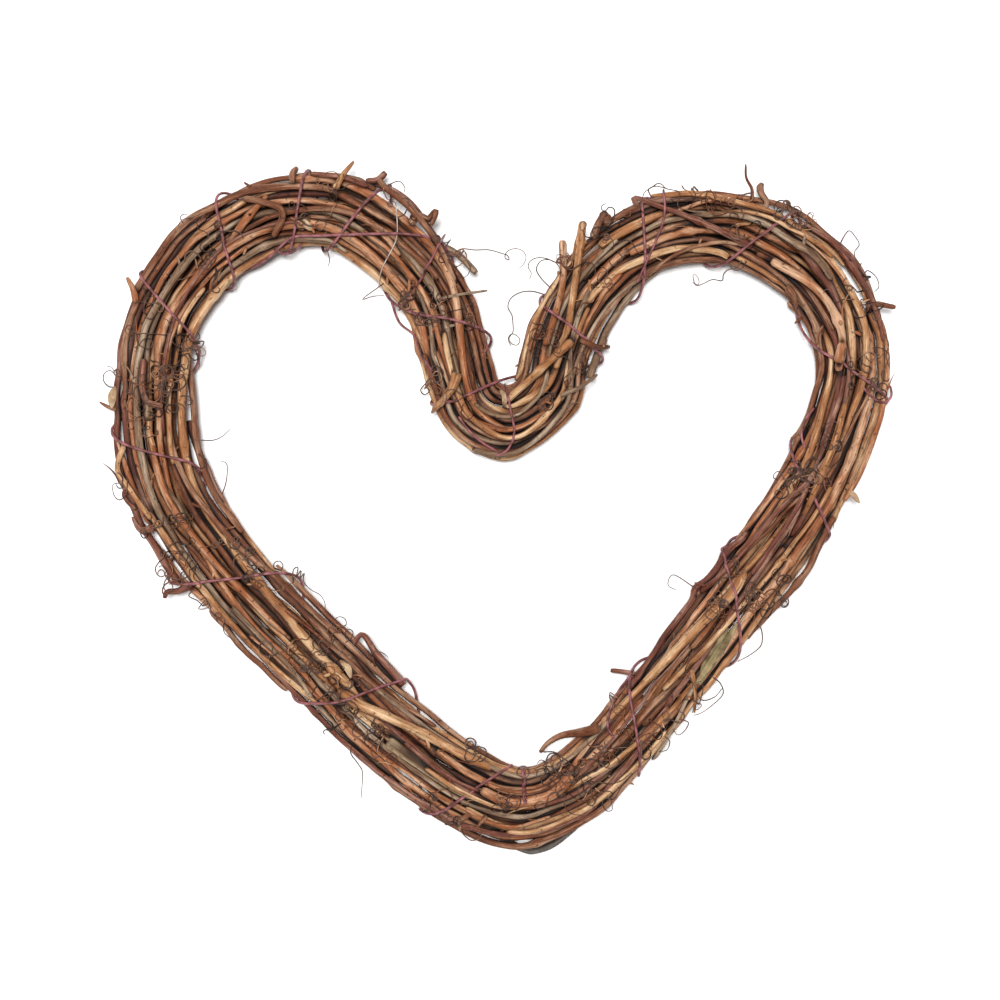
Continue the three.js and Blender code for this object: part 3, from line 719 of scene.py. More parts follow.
class UpperSide:
    """How high the wreath stands at each place seen from above, kept on a fine grid."""

    def __init__(self):
        self.low = np.array(CAD_BOUNDS[0][:2]) - SURFACE_MARGIN
        size = np.array(CAD_BOUNDS[1][:2]) + SURFACE_MARGIN - self.low
        self.heights = np.zeros(np.ceil(size / SURFACE_CELL).astype(int) + 1)

    def cells_round(self, points, reach):
        steps = np.arange(-reach, reach + 1)
        offsets = np.stack(np.meshgrid(steps, steps), axis=-1).reshape(-1, 2)
        middle = np.round((points - self.low) / SURFACE_CELL).astype(int)
        cells = middle[:, None, :] + offsets[None, :, :]
        gaps = np.linalg.norm(cells * SURFACE_CELL + self.low - points[:, None, :], axis=2)
        return cells.clip(0, np.array(self.heights.shape) - 1), gaps

    def add_line(self, line, radii):
        cells, gaps = self.cells_round(line[:, :2], int(radii.max() / SURFACE_CELL) + 1)
        inside = radii[:, None] ** 2 - gaps ** 2
        tops = line[:, 2:3] + np.sqrt(np.maximum(inside, 0))
        touched = inside > 0
        np.maximum.at(self.heights, (cells[touched][:, 0], cells[touched][:, 1]), tops[touched])

    def height_at(self, points, radius):
        cells, gaps = self.cells_round(points, int(radius / SURFACE_CELL) + 1)
        tops = self.heights[cells[:, :, 0], cells[:, :, 1]]
        return np.where(gaps <= radius + SURFACE_CELL / 2, tops, 0).max(axis=1)


def smoothed(values, rounds):
    values = values.copy()
    for _ in range(rounds):
        values[1:-1] = (values[:-2] + 2 * values[1:-1] + values[2:]) / 4
    return values


UPPER_SIDE = UpperSide()
for stem_line, stem_radii in STEM_LINES:
    UPPER_SIDE.add_line(stem_line, stem_radii)


def spot(across, down):
    """The place on the ground that a pixel of the photograph shows."""
    return [(across - PHOTO_ORIGIN[0]) * PHOTO_MM * MM, (PHOTO_ORIGIN[1] - down) * PHOTO_MM * MM]


def traced(path):
    """The path on the ground that a list of pixels shows."""
    return [spot(*place) for place in path]


def rooted(ground):
    """A path on the ground that starts on the wreath. One that starts beside it gets a place on it first."""
    start = np.asarray(ground[0], float)
    if UPPER_SIDE.height_at(start[None, :], SURFACE_CELL)[0] > ROOT_HEIGHT:
        return ground
    places = np.argwhere(UPPER_SIDE.heights > ROOT_HEIGHT) * SURFACE_CELL + UPPER_SIDE.low
    inwards = places[np.linalg.norm(places - start, axis=1).argmin()] - start
    gap = np.linalg.norm(inwards)
    if gap > ROOT_REACH:
        return None
    return [start + inwards * (1 + ROOT_DEPTH / gap), *ground]


def laid_over(ground, radius, step, rise=0.0, stiffness=8):
    """A line over the wreath along a path on the ground. It touches what it crosses. Its far end may rise."""
    ground = np.asarray(ground, float)
    flat = np.column_stack([ground, np.zeros(len(ground))])
    line, _ = smooth_line(flat, np.zeros(len(flat)), step)
    tops = UPPER_SIDE.height_at(line[:, :2], radius)
    rows = np.arange(len(line))
    covered = tops > 0
    if covered.any():
        tops = np.interp(rows, rows[covered], tops[covered])
    else:
        tops = np.full(len(line), EDGE_HEIGHT)
    heights = tops + radius
    for _ in range(stiffness):
        heights = np.maximum(smoothed(heights, 1), tops + 0.5 * radius)
    heights = smoothed(heights, 2)
    line[:, 2] = heights + rise * np.linspace(0, 1, len(line)) ** 2
    return line


def note_stem(line, radii):
    """Lets what comes later lie on a stem, and be crowded by it."""
    UPPER_SIDE.add_line(line, radii)
    STEM_LINES.append((line, radii))


def add_stick(skins, seed, dice, line, widths, bark):
    """Adds a stick to the skin of its bark. Its widths in millimetres are those at its start and end."""
    skin = skins.setdefault(bark, Skin(seed))
    radii = np.linspace(*widths, len(line)) * MM / 2
    note_stem(line, add_bark(skin, line, radii, dice, STICK_SIDES, SHOOTS_ON_STICKS))


def make_bark_pieces(skins, name):
    for bark, skin in skins.items():
        skin.make(name + bark, [BARKS[bark], CUT_WOOD])


# Thin runners that wind over the thick stems and cross them at a low angle

def longest_stretch(wanted):
    """The first and last place of the longest unbroken stretch of true values."""
    edges = np.flatnonzero(np.diff(np.concatenate([[0], wanted.astype(int), [0]])))
    starts, ends = edges[::2], edges[1::2]
    if not len(starts):
        return 0, 0
    best = int(np.argmax(ends - starts))
    return starts[best], ends[best]


def thin_runner(skin, dice):
    host, _ = dice.choice(LONG_STEM_LINES)
    count = int(dice.uniform(*RUNNER_LENGTH) / STEM_STEP)
    first = dice.randrange(max(1, len(host) - count))
    ground = host[first:first + count, :2]
    heading = np.gradient(ground, axis=0)
    heading /= np.linalg.norm(heading, axis=1)[:, None] + 1e-12
    sideways = np.stack([-heading[:, 1], heading[:, 0]], axis=1)
    drift = np.linspace(dice.uniform(-1, 1), dice.uniform(-1, 1), len(ground)) * RUNNER_DRIFT
    ground = ground + sideways * drift[:, None]
    radius = dice.uniform(*RUNNER_RADIUS)
    start, end = longest_stretch(UPPER_SIDE.height_at(ground, radius) > LOWEST_RUNNER)
    if (end - start) * STEM_STEP < RUNNER_LENGTH[0] / 2:
        return
    line = laid_over(ground[start:end:RUNNER_PATH_STEP], radius, STEM_STEP, stiffness=RUNNER_STIFFNESS)
    dip = np.exp(-from_the_ends(line) / RUNNER_DIP_LENGTH)
    line[:, 2] -= dip * radius * dice.uniform(*RUNNER_DIP)
    radii = np.full(len(line), radius)
    note_stem(line, add_bark(skin, line, radii, dice, RUNNER_SIDES, SHOOTS_ON_RUNNERS))


RUNNERS = {}
for bark_number, bark in enumerate(RUNNER_BARKS):
    runner_dice = random.Random(RUNNER_SEED + bark_number)
    RUNNERS[bark] = Skin(RUNNER_SEED + bark_number)
    for _ in range(RUNNERS_OF_A_BARK):
        thin_runner(RUNNERS[bark], runner_dice)
make_bark_pieces(RUNNERS, "thin_runners_")


# Sticks, cut ends and stubs that lie on the wreath or stand out of it: the path by pixels, the thickness at
# its start and end in millimetres, the bark, and how far the end rises in millimetres. Where that is below
# zero, both ends go under the stems beside them by as much.
STICKS = {
    "knob_on_the_left_lobe": ([(294, 184), (293, 177), (296, 169)], 2.2, 2.9, "brown", 1),
    "pointed_tan_stick": ([(336, 192), (345, 177), (354, 163)], 2.9, 1.3, "tan", 3),
    "knob_on_the_right_of_the_left_lobe": ([(366, 181), (378, 180), (386, 173)], 2.2, 2.6, "red", 1),
    "broken_block": ([(420, 219), (429, 222), (437, 213)], 3.2, 2.6, "brown", 0),
    "broken_block_lower_edge": ([(437, 213), (435, 221), (432, 229)], 2.6, 1.6, "brown", 0),
    "grey_cut_stick": ([(438, 244), (452, 250), (464, 260), (476, 273)], 2.2, 2.8, "grey", 1),
    "thin_grey_stick": ([(440, 300), (462, 296), (487, 291)], 1.2, 0.9, "grey", 2),
    "cut_stem_left": ([(545, 345), (554, 318), (562, 283), (562, 243)], 2.6, 3.0, "orange", 0),
    "cut_stem_right": ([(555, 370), (567, 330), (575, 280), (582, 224)], 2.8, 3.2, "tan", 0),
    "knot_at_the_shoulder": ([(592, 240), (598, 226), (605, 217), (606, 228)], 3.0, 4.0, "brown", 0),
    "stub_in_the_right_lobe": ([(580, 342), (597, 348), (609, 347)], 2.4, 1.7, "brown", 1),
    "fork_of_that_stub": ([(603, 347), (606, 342), (606, 337)], 1.2, 0.7, "red", 1),
    "thin_branch_in_the_right_lobe": ([(560, 397), (580, 388), (597, 375)], 1.8, 1.1, "grey", 1),
    "forked_stub": ([(458, 375), (453, 388), (446, 398), (432, 412)], 4.2, 1.5, "tan", 1),
    "fork_of_the_forked_stub": ([(446, 396), (444, 405), (440, 408)], 1.6, 0.9, "brown", 0),
    "thin_tan_twig": ([(750, 192), (744, 181), (743, 168)], 1.4, 0.8, "red", 3),
    "knob_on_the_right_lobe": ([(766, 203), (762, 194), (761, 186), (763, 183)], 1.8, 2.8, "brown", 1),
    "broken_piece_in_the_right_lobe": ([(785, 289), (791, 296), (796, 309)], 3.2, 1.4, "brown", 0),
    "dark_twig_in_the_right_lobe": ([(822, 326), (817, 334), (815, 346)], 0.9, 1.2, "brown", 1),
    "stub_on_the_right_edge": ([(874, 304), (884, 306), (894, 308)], 2.4, 1.9, "brown", 0),
    "twig_on_the_left_edge": ([(137, 303), (134, 290), (128, 278)], 2.8, 1.6, "orange", 0),
    "spike_on_the_left_edge": ([(116, 409), (108, 407), (99, 402)], 2.0, 0.8, "brown", 0),
    "hook_on_the_left_flank": ([(146, 360), (145, 390), (150, 402), (165, 407)], 2.8, 2.2, "red", 0),
    "torn_bark_on_the_left_edge": ([(132, 517), (141, 530), (156, 527)], 1.2, 3.4, "red", 0),
    "loop_above_the_torn_bark": (
        [(136, 509), (127, 500), (124, 493), (130, 490), (136, 496)], 2.0, 1.2, "red", 0,
    ),
    "curled_stub_on_the_lower_left": ([(192, 584), (178, 591), (167, 592), (165, 598)], 3.2, 1.8, "red", 0),
    "stub_below_the_tip": ([(470, 812), (461, 818), (460, 829)], 2.4, 1.3, "brown", 0),
    "second_stub_below_the_tip": ([(486, 813), (482, 819), (478, 824)], 2.2, 1.0, "brown", 0),
    "cut_stub_in_the_window": ([(636, 674), (622, 672), (611, 671)], 2.0, 2.0, "red", 1),
    "curled_pale_stub": ([(598, 725), (580, 731), (560, 736), (546, 745), (540, 753)], 4.0, 1.4, "brown", 1),
    "stub_end_in_the_window": ([(362, 634), (376, 653), (390, 669), (404, 685)], 1.8, 3.8, "red", 0),
    "orange_bend_at_the_tip": (
        [(482, 786), (510, 799), (530, 797), (552, 790), (571, 772)], 3.4, 4.2, "orange", 0,
    ),
    "tan_fork_on_the_left_edge": ([(124, 446), (118, 469), (132, 491), (152, 519)], 2.4, 2.0, "tan", 0),
    "thick_tan_stem": (
        [(340, 690), (362, 703), (386, 713), (420, 730), (455, 749), (492, 768)], 4.2, 3.2, "tan", -4,
    ),
    "broad_tan_stem_on_the_right": (
        [(743, 571), (732, 590), (700, 622), (668, 655), (640, 686)], 3.9, 3.0, "tan", -4,
    ),
    "bent_piece": ([(245, 200), (262, 204), (283, 212), (284, 222), (275, 238)], 2.4, 2.6, "brown", 0),
    "dark_stem_of_the_notch": ([(383, 186), (408, 208), (438, 246), (455, 283)], 2.4, 2.0, "brown", -3),
    "tan_stem_over_the_right_lobe": ([(650, 199), (690, 197), (730, 205), (790, 222)], 2.6, 2.0, "tan", -4),
    "pale_stem_on_the_right": ([(845, 395), (832, 440), (815, 480), (800, 520)], 2.8, 2.2, "tan", -4),
    "orange_stem_of_the_right_lobe": (
        [(770, 262), (815, 292), (838, 335), (836, 372)], 3.4, 3.2, "orange", -1,
    ),
    "bud_end_on_the_right": ([(838, 345), (836, 358), (835, 364)], 3.4, 4.4, "orange", 0),
    "tan_stem_of_the_left_flank": ([(150, 512), (205, 590), (262, 655), (318, 702)], 2.6, 2.2, "tan", -4),
    "broken_twig_of_the_left_flank": ([(168, 490), (181, 506), (187, 520)], 2.6, 1.8, "grey", 0),
    "orange_stem_of_the_left_flank": (
        [(150, 440), (172, 500), (215, 560), (290, 640)], 2.8, 2.4, "orange", -4,
    ),
    "torn_stub_on_the_right_flank": ([(690, 668), (694, 690), (694, 712)], 1.9, 0.9, "tan", 0),
    "red_stick_over_the_right_lobe": ([(632, 201), (667, 212), (711, 229), (750, 248)], 1.9, 2.7, "red", 0),
    "cut_stick_at_the_notch": ([(507, 401), (530, 380), (551, 361), (571, 343)], 2.6, 3.4, "tan", 0),
}

STICK_SKINS = {}
for seed, (path, start_width, end_width, bark, rise) in enumerate(STICKS.values(), STICK_SEED):
    ground = rooted(traced(path))
    stick_line = laid_over(ground, start_width * MM / 2, STEM_STEP, max(rise, 0) * MM, STICK_STIFFNESS)
    if rise < 0:
        stick_line[:, 2] += rise * MM * np.exp(-((from_the_ends(stick_line) / TUCK_LENGTH) ** 2))
    add_stick(STICK_SKINS, seed, random.Random(seed), stick_line, (start_width, end_width), bark)
make_bark_pieces(STICK_SKINS, "sticks_and_stubs_")


# Thin lines are drawn tight against the stems

def stem_tree(lines):
    points = np.vstack([line for line, _ in lines])
    radii = np.concatenate([radii for _, radii in lines])
    tree = KDTree(len(points))
    for index, point in enumerate(points):
        tree.insert(Vector(point), index)
    tree.balance()
    return tree, points, radii


def push_off_stems(line, radius, rounds, smoothing):
    """Draws a thin line tight round by round, and moves it out of the stems each time."""
    line = line.copy()
    for _ in range(rounds):
        line[1:-1] += smoothing * ((line[:-2] + line[2:]) / 2 - line[1:-1])
        for row, place in enumerate(line):
            for _, index, distance in TREE.find_n(Vector(place), 5):
                gap = TREE_RADII[index] + radius - distance
                if gap > 0:
                    away = line[row] - TREE_POINTS[index]
                    line[row] += away / (np.linalg.norm(away) + 1e-9) * gap
                    break
    line[:, 2] = np.maximum(line[:, 2], radius)
    return line


# Stems along the edges, where one or two stand a little clear of the bundle: the path by pixels, the
# thickness at its start and end, the bark, and the height above the ground, all in millimetres
EDGE_STEMS = {
    "bow_of_the_grey_cane": (
        [(478, 812), (490, 828), (508, 843), (530, 852), (552, 847), (570, 832), (584, 814)],
        2.9, 2.8, "cane", 8,
    ),
    "inner_edge_of_the_left_flank": (
        [(186, 352), (192, 395), (198, 450), (211, 488), (240, 534)], 2.6, 2.2, "brown", 11,
    ),
    "dark_edge_of_the_left_flank": ([(184, 420), (205, 470), (222, 503), (248, 552)], 2.8, 2.4, "red", 7),
    "inner_edge_of_the_right_flank": (
        [(780, 512), (738, 543), (702, 588), (668, 632), (630, 688)], 2.8, 2.4, "red", 12,
    ),
    "second_edge_of_the_right_flank": (
        [(760, 536), (712, 584), (682, 622), (640, 690)], 2.4, 2.2, "tan", 8,
    ),
    "outer_edge_of_the_right_flank": (
        [(832, 515), (808, 570), (779, 604), (742, 638)], 2.6, 2.2, "brown", 10,
    ),
    "edge_of_the_right_lobe_at_the_notch": (
        [(572, 262), (548, 300), (529, 334), (520, 385)], 2.6, 2.2, "brown", 10,
    ),
    "top_edge_of_the_right_lobe": (
        [(640, 208), (695, 192), (745, 197), (795, 211), (840, 246)], 2.4, 2.2, "brown", 10,
    ),
    "outer_edge_of_the_right_lobe": ([(805, 224), (845, 248), (868, 278), (876, 330)], 2.6, 2.2, "red", 9),
    "top_edge_of_the_left_lobe": ([(335, 184), (385, 187), (415, 208), (440, 250)], 2.4, 2.2, "red", 10),
    "outer_edge_at_the_lower_left": ([(205, 596), (238, 645), (288, 688)], 2.4, 2.0, "brown", 9),
}

TREE, TREE_POINTS, TREE_RADII = stem_tree(STEM_LINES)
EDGE_SKINS = {}
for seed, (path, start_width, end_width, bark, height) in enumerate(EDGE_STEMS.values(), EDGE_STEM_SEED):
    edge_dice = random.Random(seed)
    ground = [place + [height * MM] for place in traced(path)]
    edge_line, _ = smooth_line(ground, np.zeros(len(ground)), STEM_STEP)
    edge_line = push_off_stems(edge_line, start_width * MM / 2, EDGE_ROUNDS, EDGE_SMOOTHING)
    edge_line = kinked(edge_line, edge_dice, EDGE_KINKS)
    add_stick(EDGE_SKINS, seed, edge_dice, edge_line, (start_width, end_width), bark)
make_bark_pieces(EDGE_SKINS, "edge_stems_")
TREE, TREE_POINTS, TREE_RADII = stem_tree(STEM_LINES)


# The wires, drawn tight over the grown stems

def laid_wire(node_name, piece_name, material, fit=1.0, spare=0.0, rounds=WIRE_ROUNDS):
    """Draws a wire of the frame tight over the grown stems. Its ends are cut back by the spare length."""
    centres, radii = node_rings(node_name)
    line, radii = smooth_line(centres, radii, WIRE_STEP)
    cut = int(spare / WIRE_STEP)
    line, radii = line[cut:len(line) - cut], radii[cut:len(radii) - cut]
    radii = radii * fit
    line = push_off_stems(line, radii[0], rounds, WIRE_SMOOTHING)
    UPPER_SIDE.add_line(line, radii)
    skin = Skin()
    skin.add_tube(line, radii, WIRE_SIDES)
    piece = skin.make(piece_name, [material])
    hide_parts(node_name)


laid_wire("binding_wire", "paper_binding_wire", WIRE_SKIN, spare=BINDING_SPARE)
laid_wire("long_wrap_wire", "paper_wrap_wire", WIRE_SKIN, rounds=WRAP_ROUNDS)
laid_wire("pale_thread", "cotton_thread", THREAD_SKIN, THREAD_FIT)

# Shorter lengths of the same wire, each a path by pixels: second turns and loops that stand a little clear
LOOSE_WIRES = {
    "second_turn_on_the_right_lobe": [(636, 284), (646, 262), (656, 240), (663, 217), (662, 192)],
    "second_turn_on_the_left_lobe": [(445, 234), (432, 262), (415, 290), (399, 311)],
    "loop_inside_the_left_lobe": [(391, 300), (399, 322), (413, 333), (419, 350), (433, 372)],
    "loop_inside_the_right_flank": [(814, 408), (804, 422), (801, 436), (804, 448)],
    "turn_at_the_notch": [(505, 384), (511, 413), (514, 434), (506, 452), (496, 456)],
    "loop_under_the_notch": [(459, 417), (470, 432), (484, 444), (500, 453)],
    "loop_on_the_right_edge": [(890, 386), (891, 396), (884, 403), (869, 397), (860, 388)],
    "loop_inside_the_left_top": [(275, 250), (284, 255), (295, 252), (302, 244)],
    "end_beside_the_notch": [(486, 343), (488, 348), (484, 353)],
    "loop_inside_the_tip": [(613, 736), (606, 724), (612, 705), (620, 690), (634, 668)],
}
loose_wire_skin = Skin()
for path in LOOSE_WIRES.values():
    wire_line = laid_over(traced(path), WIRE_WIDTH / 2, WIRE_STEP)
    wire_line = push_off_stems(wire_line, WIRE_WIDTH / 2, LOOSE_WIRE_ROUNDS, LOOSE_WIRE_SMOOTHING)
    wire_radii = np.full(len(wire_line), WIRE_WIDTH / 2)
    loose_wire_skin.add_tube(wire_line, wire_radii, WIRE_SIDES)
    UPPER_SIDE.add_line(wire_line, wire_radii)

# The two ends of the wire are twisted round each other near the tip
TWIST_PATH = [(523, 767), (524, 778), (524, 788), (525, 799)]
twist_line = laid_over(traced(TWIST_PATH), WIRE_WIDTH / 2, WIRE_STEP / 2, rise=TWIST_RISE)
_, twist_across, twist_upright = line_frames(twist_line)
for strand in (0, math.pi):
    turning = np.linspace(0, TWIST_TURNS * 2 * math.pi, len(twist_line)) + strand
    strand_line = twist_line + (WIRE_WIDTH / 2) * (
        twist_across * np.cos(turning)[:, None] + twist_upright * np.sin(turning)[:, None]
    )
    loose_wire_skin.add_tube(strand_line, np.full(len(strand_line), WIRE_WIDTH * STRAND_SHARE), WIRE_SIDES)
loose_wire_skin.make("loose_wire_lengths", [WIRE_SKIN])


# Tendrils: thin dried curls that the vine held on with. These long ones are traced, a path by pixels each,
# from the root to the tip.
TENDRILS = [
    [(461, 249), (475, 250), (489, 250), (500, 253), (508, 256), (509, 260), (505, 258), (507, 252),
     (515, 249), (522, 251), (526, 257), (524, 264), (519, 269)],
    [(555, 265), (545, 261), (535, 261), (529, 265), (528, 270), (531, 276), (529, 282)],
    [(549, 288), (541, 280), (536, 271), (541, 263), (551, 263), (558, 269), (560, 278)],
    [(544, 294), (532, 291), (521, 292), (511, 298), (508, 307), (512, 315), (513, 324), (513, 332),
     (509, 338), (511, 343), (517, 345), (520, 340), (516, 335), (511, 334), (508, 339), (511, 346)],
    [(116, 387), (107, 386), (102, 380), (103, 373), (109, 370), (113, 373), (111, 367), (106, 366)],
    [(184, 224), (181, 218), (186, 215), (189, 217)],
    [(221, 494), (225, 480), (225, 463), (219, 461)],
    [(280, 570), (274, 568), (274, 563), (279, 561), (283, 565), (281, 570), (275, 571)],
    [(293, 583), (294, 569), (298, 567), (297, 576), (301, 570), (300, 578), (304, 573), (303, 581),
     (311, 590), (320, 595), (325, 603), (325, 612)],
    [(346, 642), (351, 638), (353, 632), (349, 629), (345, 633), (347, 639)],
    [(368, 655), (376, 651), (384, 653), (389, 657)],
    [(226, 619), (223, 626), (224, 633), (230, 638), (235, 641)],
    [(352, 745), (351, 754), (357, 763), (362, 771), (362, 784), (361, 799)],
    [(762, 630), (762, 645), (751, 655), (738, 662)],
    [(720, 683), (723, 693), (713, 704), (700, 713), (693, 715)],
    [(688, 722), (683, 731), (677, 734), (672, 728)],
    [(669, 740), (666, 749), (658, 750)],
    [(632, 772), (622, 786), (613, 799), (605, 796), (602, 802), (607, 811), (612, 810), (611, 799)],
    [(590, 780), (606, 782), (620, 778), (630, 770)],
    [(524, 775), (517, 773), (518, 768), (525, 766), (529, 771), (525, 776), (519, 774)],
    [(541, 768), (545, 762), (541, 760), (537, 764)],
    [(741, 261), (735, 269), (728, 270), (723, 275), (722, 281), (712, 280), (703, 284), (696, 286),
     (693, 280), (693, 274), (698, 279), (698, 285), (692, 283)],
    [(746, 262), (741, 269), (734, 271), (729, 267)],
    [(850, 230), (856, 236), (860, 244), (855, 252), (857, 260), (862, 265)],
    [(868, 270), (877, 277), (879, 287), (874, 292)],
    [(886, 334), (889, 345), (886, 356), (889, 368)],
    [(580, 374), (586, 372), (590, 367), (587, 363), (584, 368), (588, 373)],
    [(432, 380), (424, 384), (420, 390), (424, 394), (429, 390), (425, 385), (430, 379), (435, 381),
     (431, 386)],
    [(388, 185), (399, 181), (405, 188), (404, 193)],
    [(362, 299), (372, 296), (384, 295)],
    [(214, 440), (223, 436), (231, 429)],
    [(329, 255), (330, 262), (328, 268)],
    [(236, 349), (228, 350), (222, 348)],
    [(225, 372), (224, 378), (226, 383)],
    [(197, 566), (196, 578), (203, 583), (201, 590)],
    [(188, 596), (197, 601), (203, 606), (208, 603), (207, 597), (200, 600)],
    [(440, 300), (452, 312), (463, 310), (474, 303)],
    [(198, 454), (206, 460), (203, 468), (195, 466)],
    [(820, 466), (830, 467), (838, 460)],
    [(690, 657), (684, 670), (693, 684), (696, 700), (691, 712)],
    [(702, 700), (714, 697), (722, 688)],
    [(672, 575), (668, 585), (676, 590)],
    [(545, 752), (553, 752), (566, 758), (574, 766)],
]

# Where random curls lie in knots: the pixel, how many curls, and how far they spread in millimetres
TANGLES = [
    (172, 372, 11, 4.5), (164, 384, 7, 4), (178, 395, 6, 3), (147, 418, 8, 3.5), (128, 380, 4, 3),
    (172, 560, 7, 3), (186, 582, 6, 3.5), (201, 608, 6, 1.8), (168, 556, 5, 2), (245, 560, 4, 5),
    (262, 585, 4, 4), (290, 650, 7, 4), (318, 662, 8, 4.5), (340, 688, 9, 4.5), (352, 722, 9, 4.5),
    (378, 730, 9, 4.5), (330, 640, 5, 3), (222, 545, 4, 4), (181, 518, 6, 3.5), (150, 525, 4, 2),
    (190, 350, 6, 2.5), (205, 345, 3, 2.5), (212, 240, 6, 4), (205, 262, 5, 4), (313, 224, 5, 2.2),
    (330, 190, 6, 2.5), (385, 180, 4, 3), (400, 215, 4, 4), (452, 238, 8, 3), (462, 248, 6, 2),
    (412, 295, 6, 4), (438, 300, 6, 3), (425, 320, 5, 4), (432, 382, 4, 2), (470, 400, 4, 4),
    (558, 265, 5, 2), (601, 226, 8, 2.6), (650, 190, 5, 3), (690, 188, 6, 3), (722, 214, 8, 3),
    (740, 230, 4, 4), (790, 214, 10, 4), (806, 222, 6, 3), (845, 232, 3, 3), (545, 330, 7, 4),
    (530, 345, 4, 3), (572, 375, 6, 3.5), (548, 398, 5, 3), (600, 290, 5, 4), (620, 250, 4, 4),
    (718, 603, 8, 2.2), (738, 570, 5, 1.8), (758, 596, 11, 4.2), (776, 606, 7, 3), (742, 608, 6, 3),
    (780, 585, 4, 3), (772, 628, 3, 2), (700, 702, 6, 2.5), (632, 735, 6, 3.5), (598, 750, 9, 4),
    (572, 768, 8, 4), (590, 786, 7, 4), (545, 768, 4, 3), (560, 790, 5, 4), (805, 470, 8, 4),
    (790, 480, 5, 3), (830, 440, 3, 3), (886, 364, 4, 1.6), (872, 392, 5, 3), (862, 370, 4, 3),
    (855, 300, 4, 4), (613, 692, 5, 2), (458, 822, 4, 2), (430, 800, 4, 3), (508, 806, 5, 3),
    (480, 760, 4, 4), (660, 720, 4, 4), (880, 300, 3, 3), (875, 275, 4, 2), (470, 322, 4, 4),
    (150, 300, 4, 4), (135, 330, 4, 3), (118, 470, 3, 3),
]


def curly_path(start, dice):
    """A path on the ground that curls more and more tightly, now and then the other way."""
    heading = dice.uniform(0, 2 * math.pi)
    length = dice.uniform(*CURL_LENGTH)
    curl = dice.uniform(*CURL_RADIUS)
    turning = dice.choice((-1, 1))
    points = [np.array(start)]
    for place in range(int(length / CURL_STEP)):
        tightness = 0.25 + 1.1 * place * CURL_STEP / length
        heading += turning * tightness * CURL_STEP / curl + dice.uniform(-CURL_WANDER, CURL_WANDER)
        if dice.random() < CURL_TURN_SHARE:
            turning = -turning
        points.append(points[-1] + CURL_STEP * np.array([math.cos(heading), math.sin(heading)]))
    return points[::2]


def add_tendril(skin, ground, thickness, rise):
    """Adds a tendril that grows from the wreath, or none where the wreath is too far off."""
    ground = rooted(ground)
    if ground is None:
        return
    line = laid_over(ground, thickness / 2, TENDRIL_STEP, rise, TENDRIL_STIFFNESS)
    radii = np.linspace(thickness, thickness * TENDRIL_TAPER, len(line)) / 2
    skin.add_tube(line, radii, TENDRIL_SIDES)


tendril_dice = random.Random(TENDRIL_SEED)
long_tendrils = Skin(TENDRIL_SEED)
for path in TENDRILS:
    add_tendril(long_tendrils, traced(path), TENDRIL_WIDTH, tendril_dice.uniform(0, 1) * TENDRIL_RISE)
long_tendrils.make("long_tendrils", [TENDRIL_SKIN])

tangle_skins = {"dark": Skin(TENDRIL_SEED + 1), "brown": Skin(TENDRIL_SEED + 2)}
for across, down, count, spread in TANGLES:
    for _ in range(count):
        offset = np.array([tendril_dice.gauss(0, 0.5), tendril_dice.gauss(0, 0.5)]) * spread * MM
        ground = curly_path(np.array(spot(across, down)) + offset, tendril_dice)
        thickness = tendril_dice.uniform(*CURL_THICKNESS)
        shade = tendril_dice.choice(("dark", "dark", "brown"))
        lift = tendril_dice.uniform(0, 1) * CURL_LIFT
        if np.mean(UPPER_SIDE.height_at(np.array(ground), SURFACE_CELL) == 0) < CURL_SHARE_OUTSIDE:
            add_tendril(tangle_skins[shade], ground, thickness, lift)
tangle_skins["dark"].make("tangled_tendrils", [TENDRIL_SKIN])
tangle_skins["brown"].make("tangled_bark_curls", [BARKS["brown"]])


# Shade is painted into the bark between the stems: each piece of bark is told how closely the stems lie round
# it, and its colour is darkened by that

def stem_crowding():
    """The share of the space round each place that the stems fill, on a grid."""
    low = np.array(CAD_BOUNDS[0]) - CROWD_MARGIN
    size = np.array(CAD_BOUNDS[1]) + CROWD_MARGIN - low
    filled = np.zeros(np.ceil(size / CROWD_CELL).astype(int) + 1)
    for line, radii in STEM_LINES:
        reach = int(radii.max() / CROWD_CELL) + 1
        steps = np.arange(-reach, reach + 1)
        offsets = np.stack(np.meshgrid(steps, steps, steps), axis=-1).reshape(-1, 3)
        cells = np.round((line - low) / CROWD_CELL).astype(int)[:, None, :] + offsets[None, :, :]
        gaps = np.linalg.norm(cells * CROWD_CELL + low - line[:, None, :], axis=2)
        inside = cells[gaps < radii[:, None]]
        filled[inside[:, 0], inside[:, 1], inside[:, 2]] = 1
    for _ in range(CROWD_BLURS):
        for axis in range(3):
            filled = (np.roll(filled, 1, axis) + filled + np.roll(filled, -1, axis)) / 3
    return low, filled


def note_crowding(piece, low, filled):
    """Gives a piece the crowding just outside its faces, read between the cells of the grid."""
    corners = np.empty(len(piece.data.vertices) * 3)
    outwards = np.empty(len(corners))
    piece.data.vertices.foreach_get("co", corners)
    piece.data.vertices.foreach_get("normal", outwards)
    places = (corners + outwards * CROWD_LOOK).reshape(-1, 3)
    places = (places - low) / CROWD_CELL
    cells = places.astype(int)
    part = places - cells
    crowding = np.zeros(len(places))
    for corner in np.ndindex(2, 2, 2):
        weight = np.prod(np.where(corner, part, 1 - part), axis=1)
        at = cells + corner
        crowding += weight * filled[at[:, 0], at[:, 1], at[:, 2]]
    layer = piece.data.attributes.new("crowding", "FLOAT", "POINT")
    layer.data.foreach_set("value", crowding)


crowd_low, crowd_filled = stem_crowding()
for piece in BARK_PIECES:
    note_crowding(piece, crowd_low, crowd_filled)


# The leaf blade and the husks: thin, creased along the middle, curled at the edges and pointed at both ends

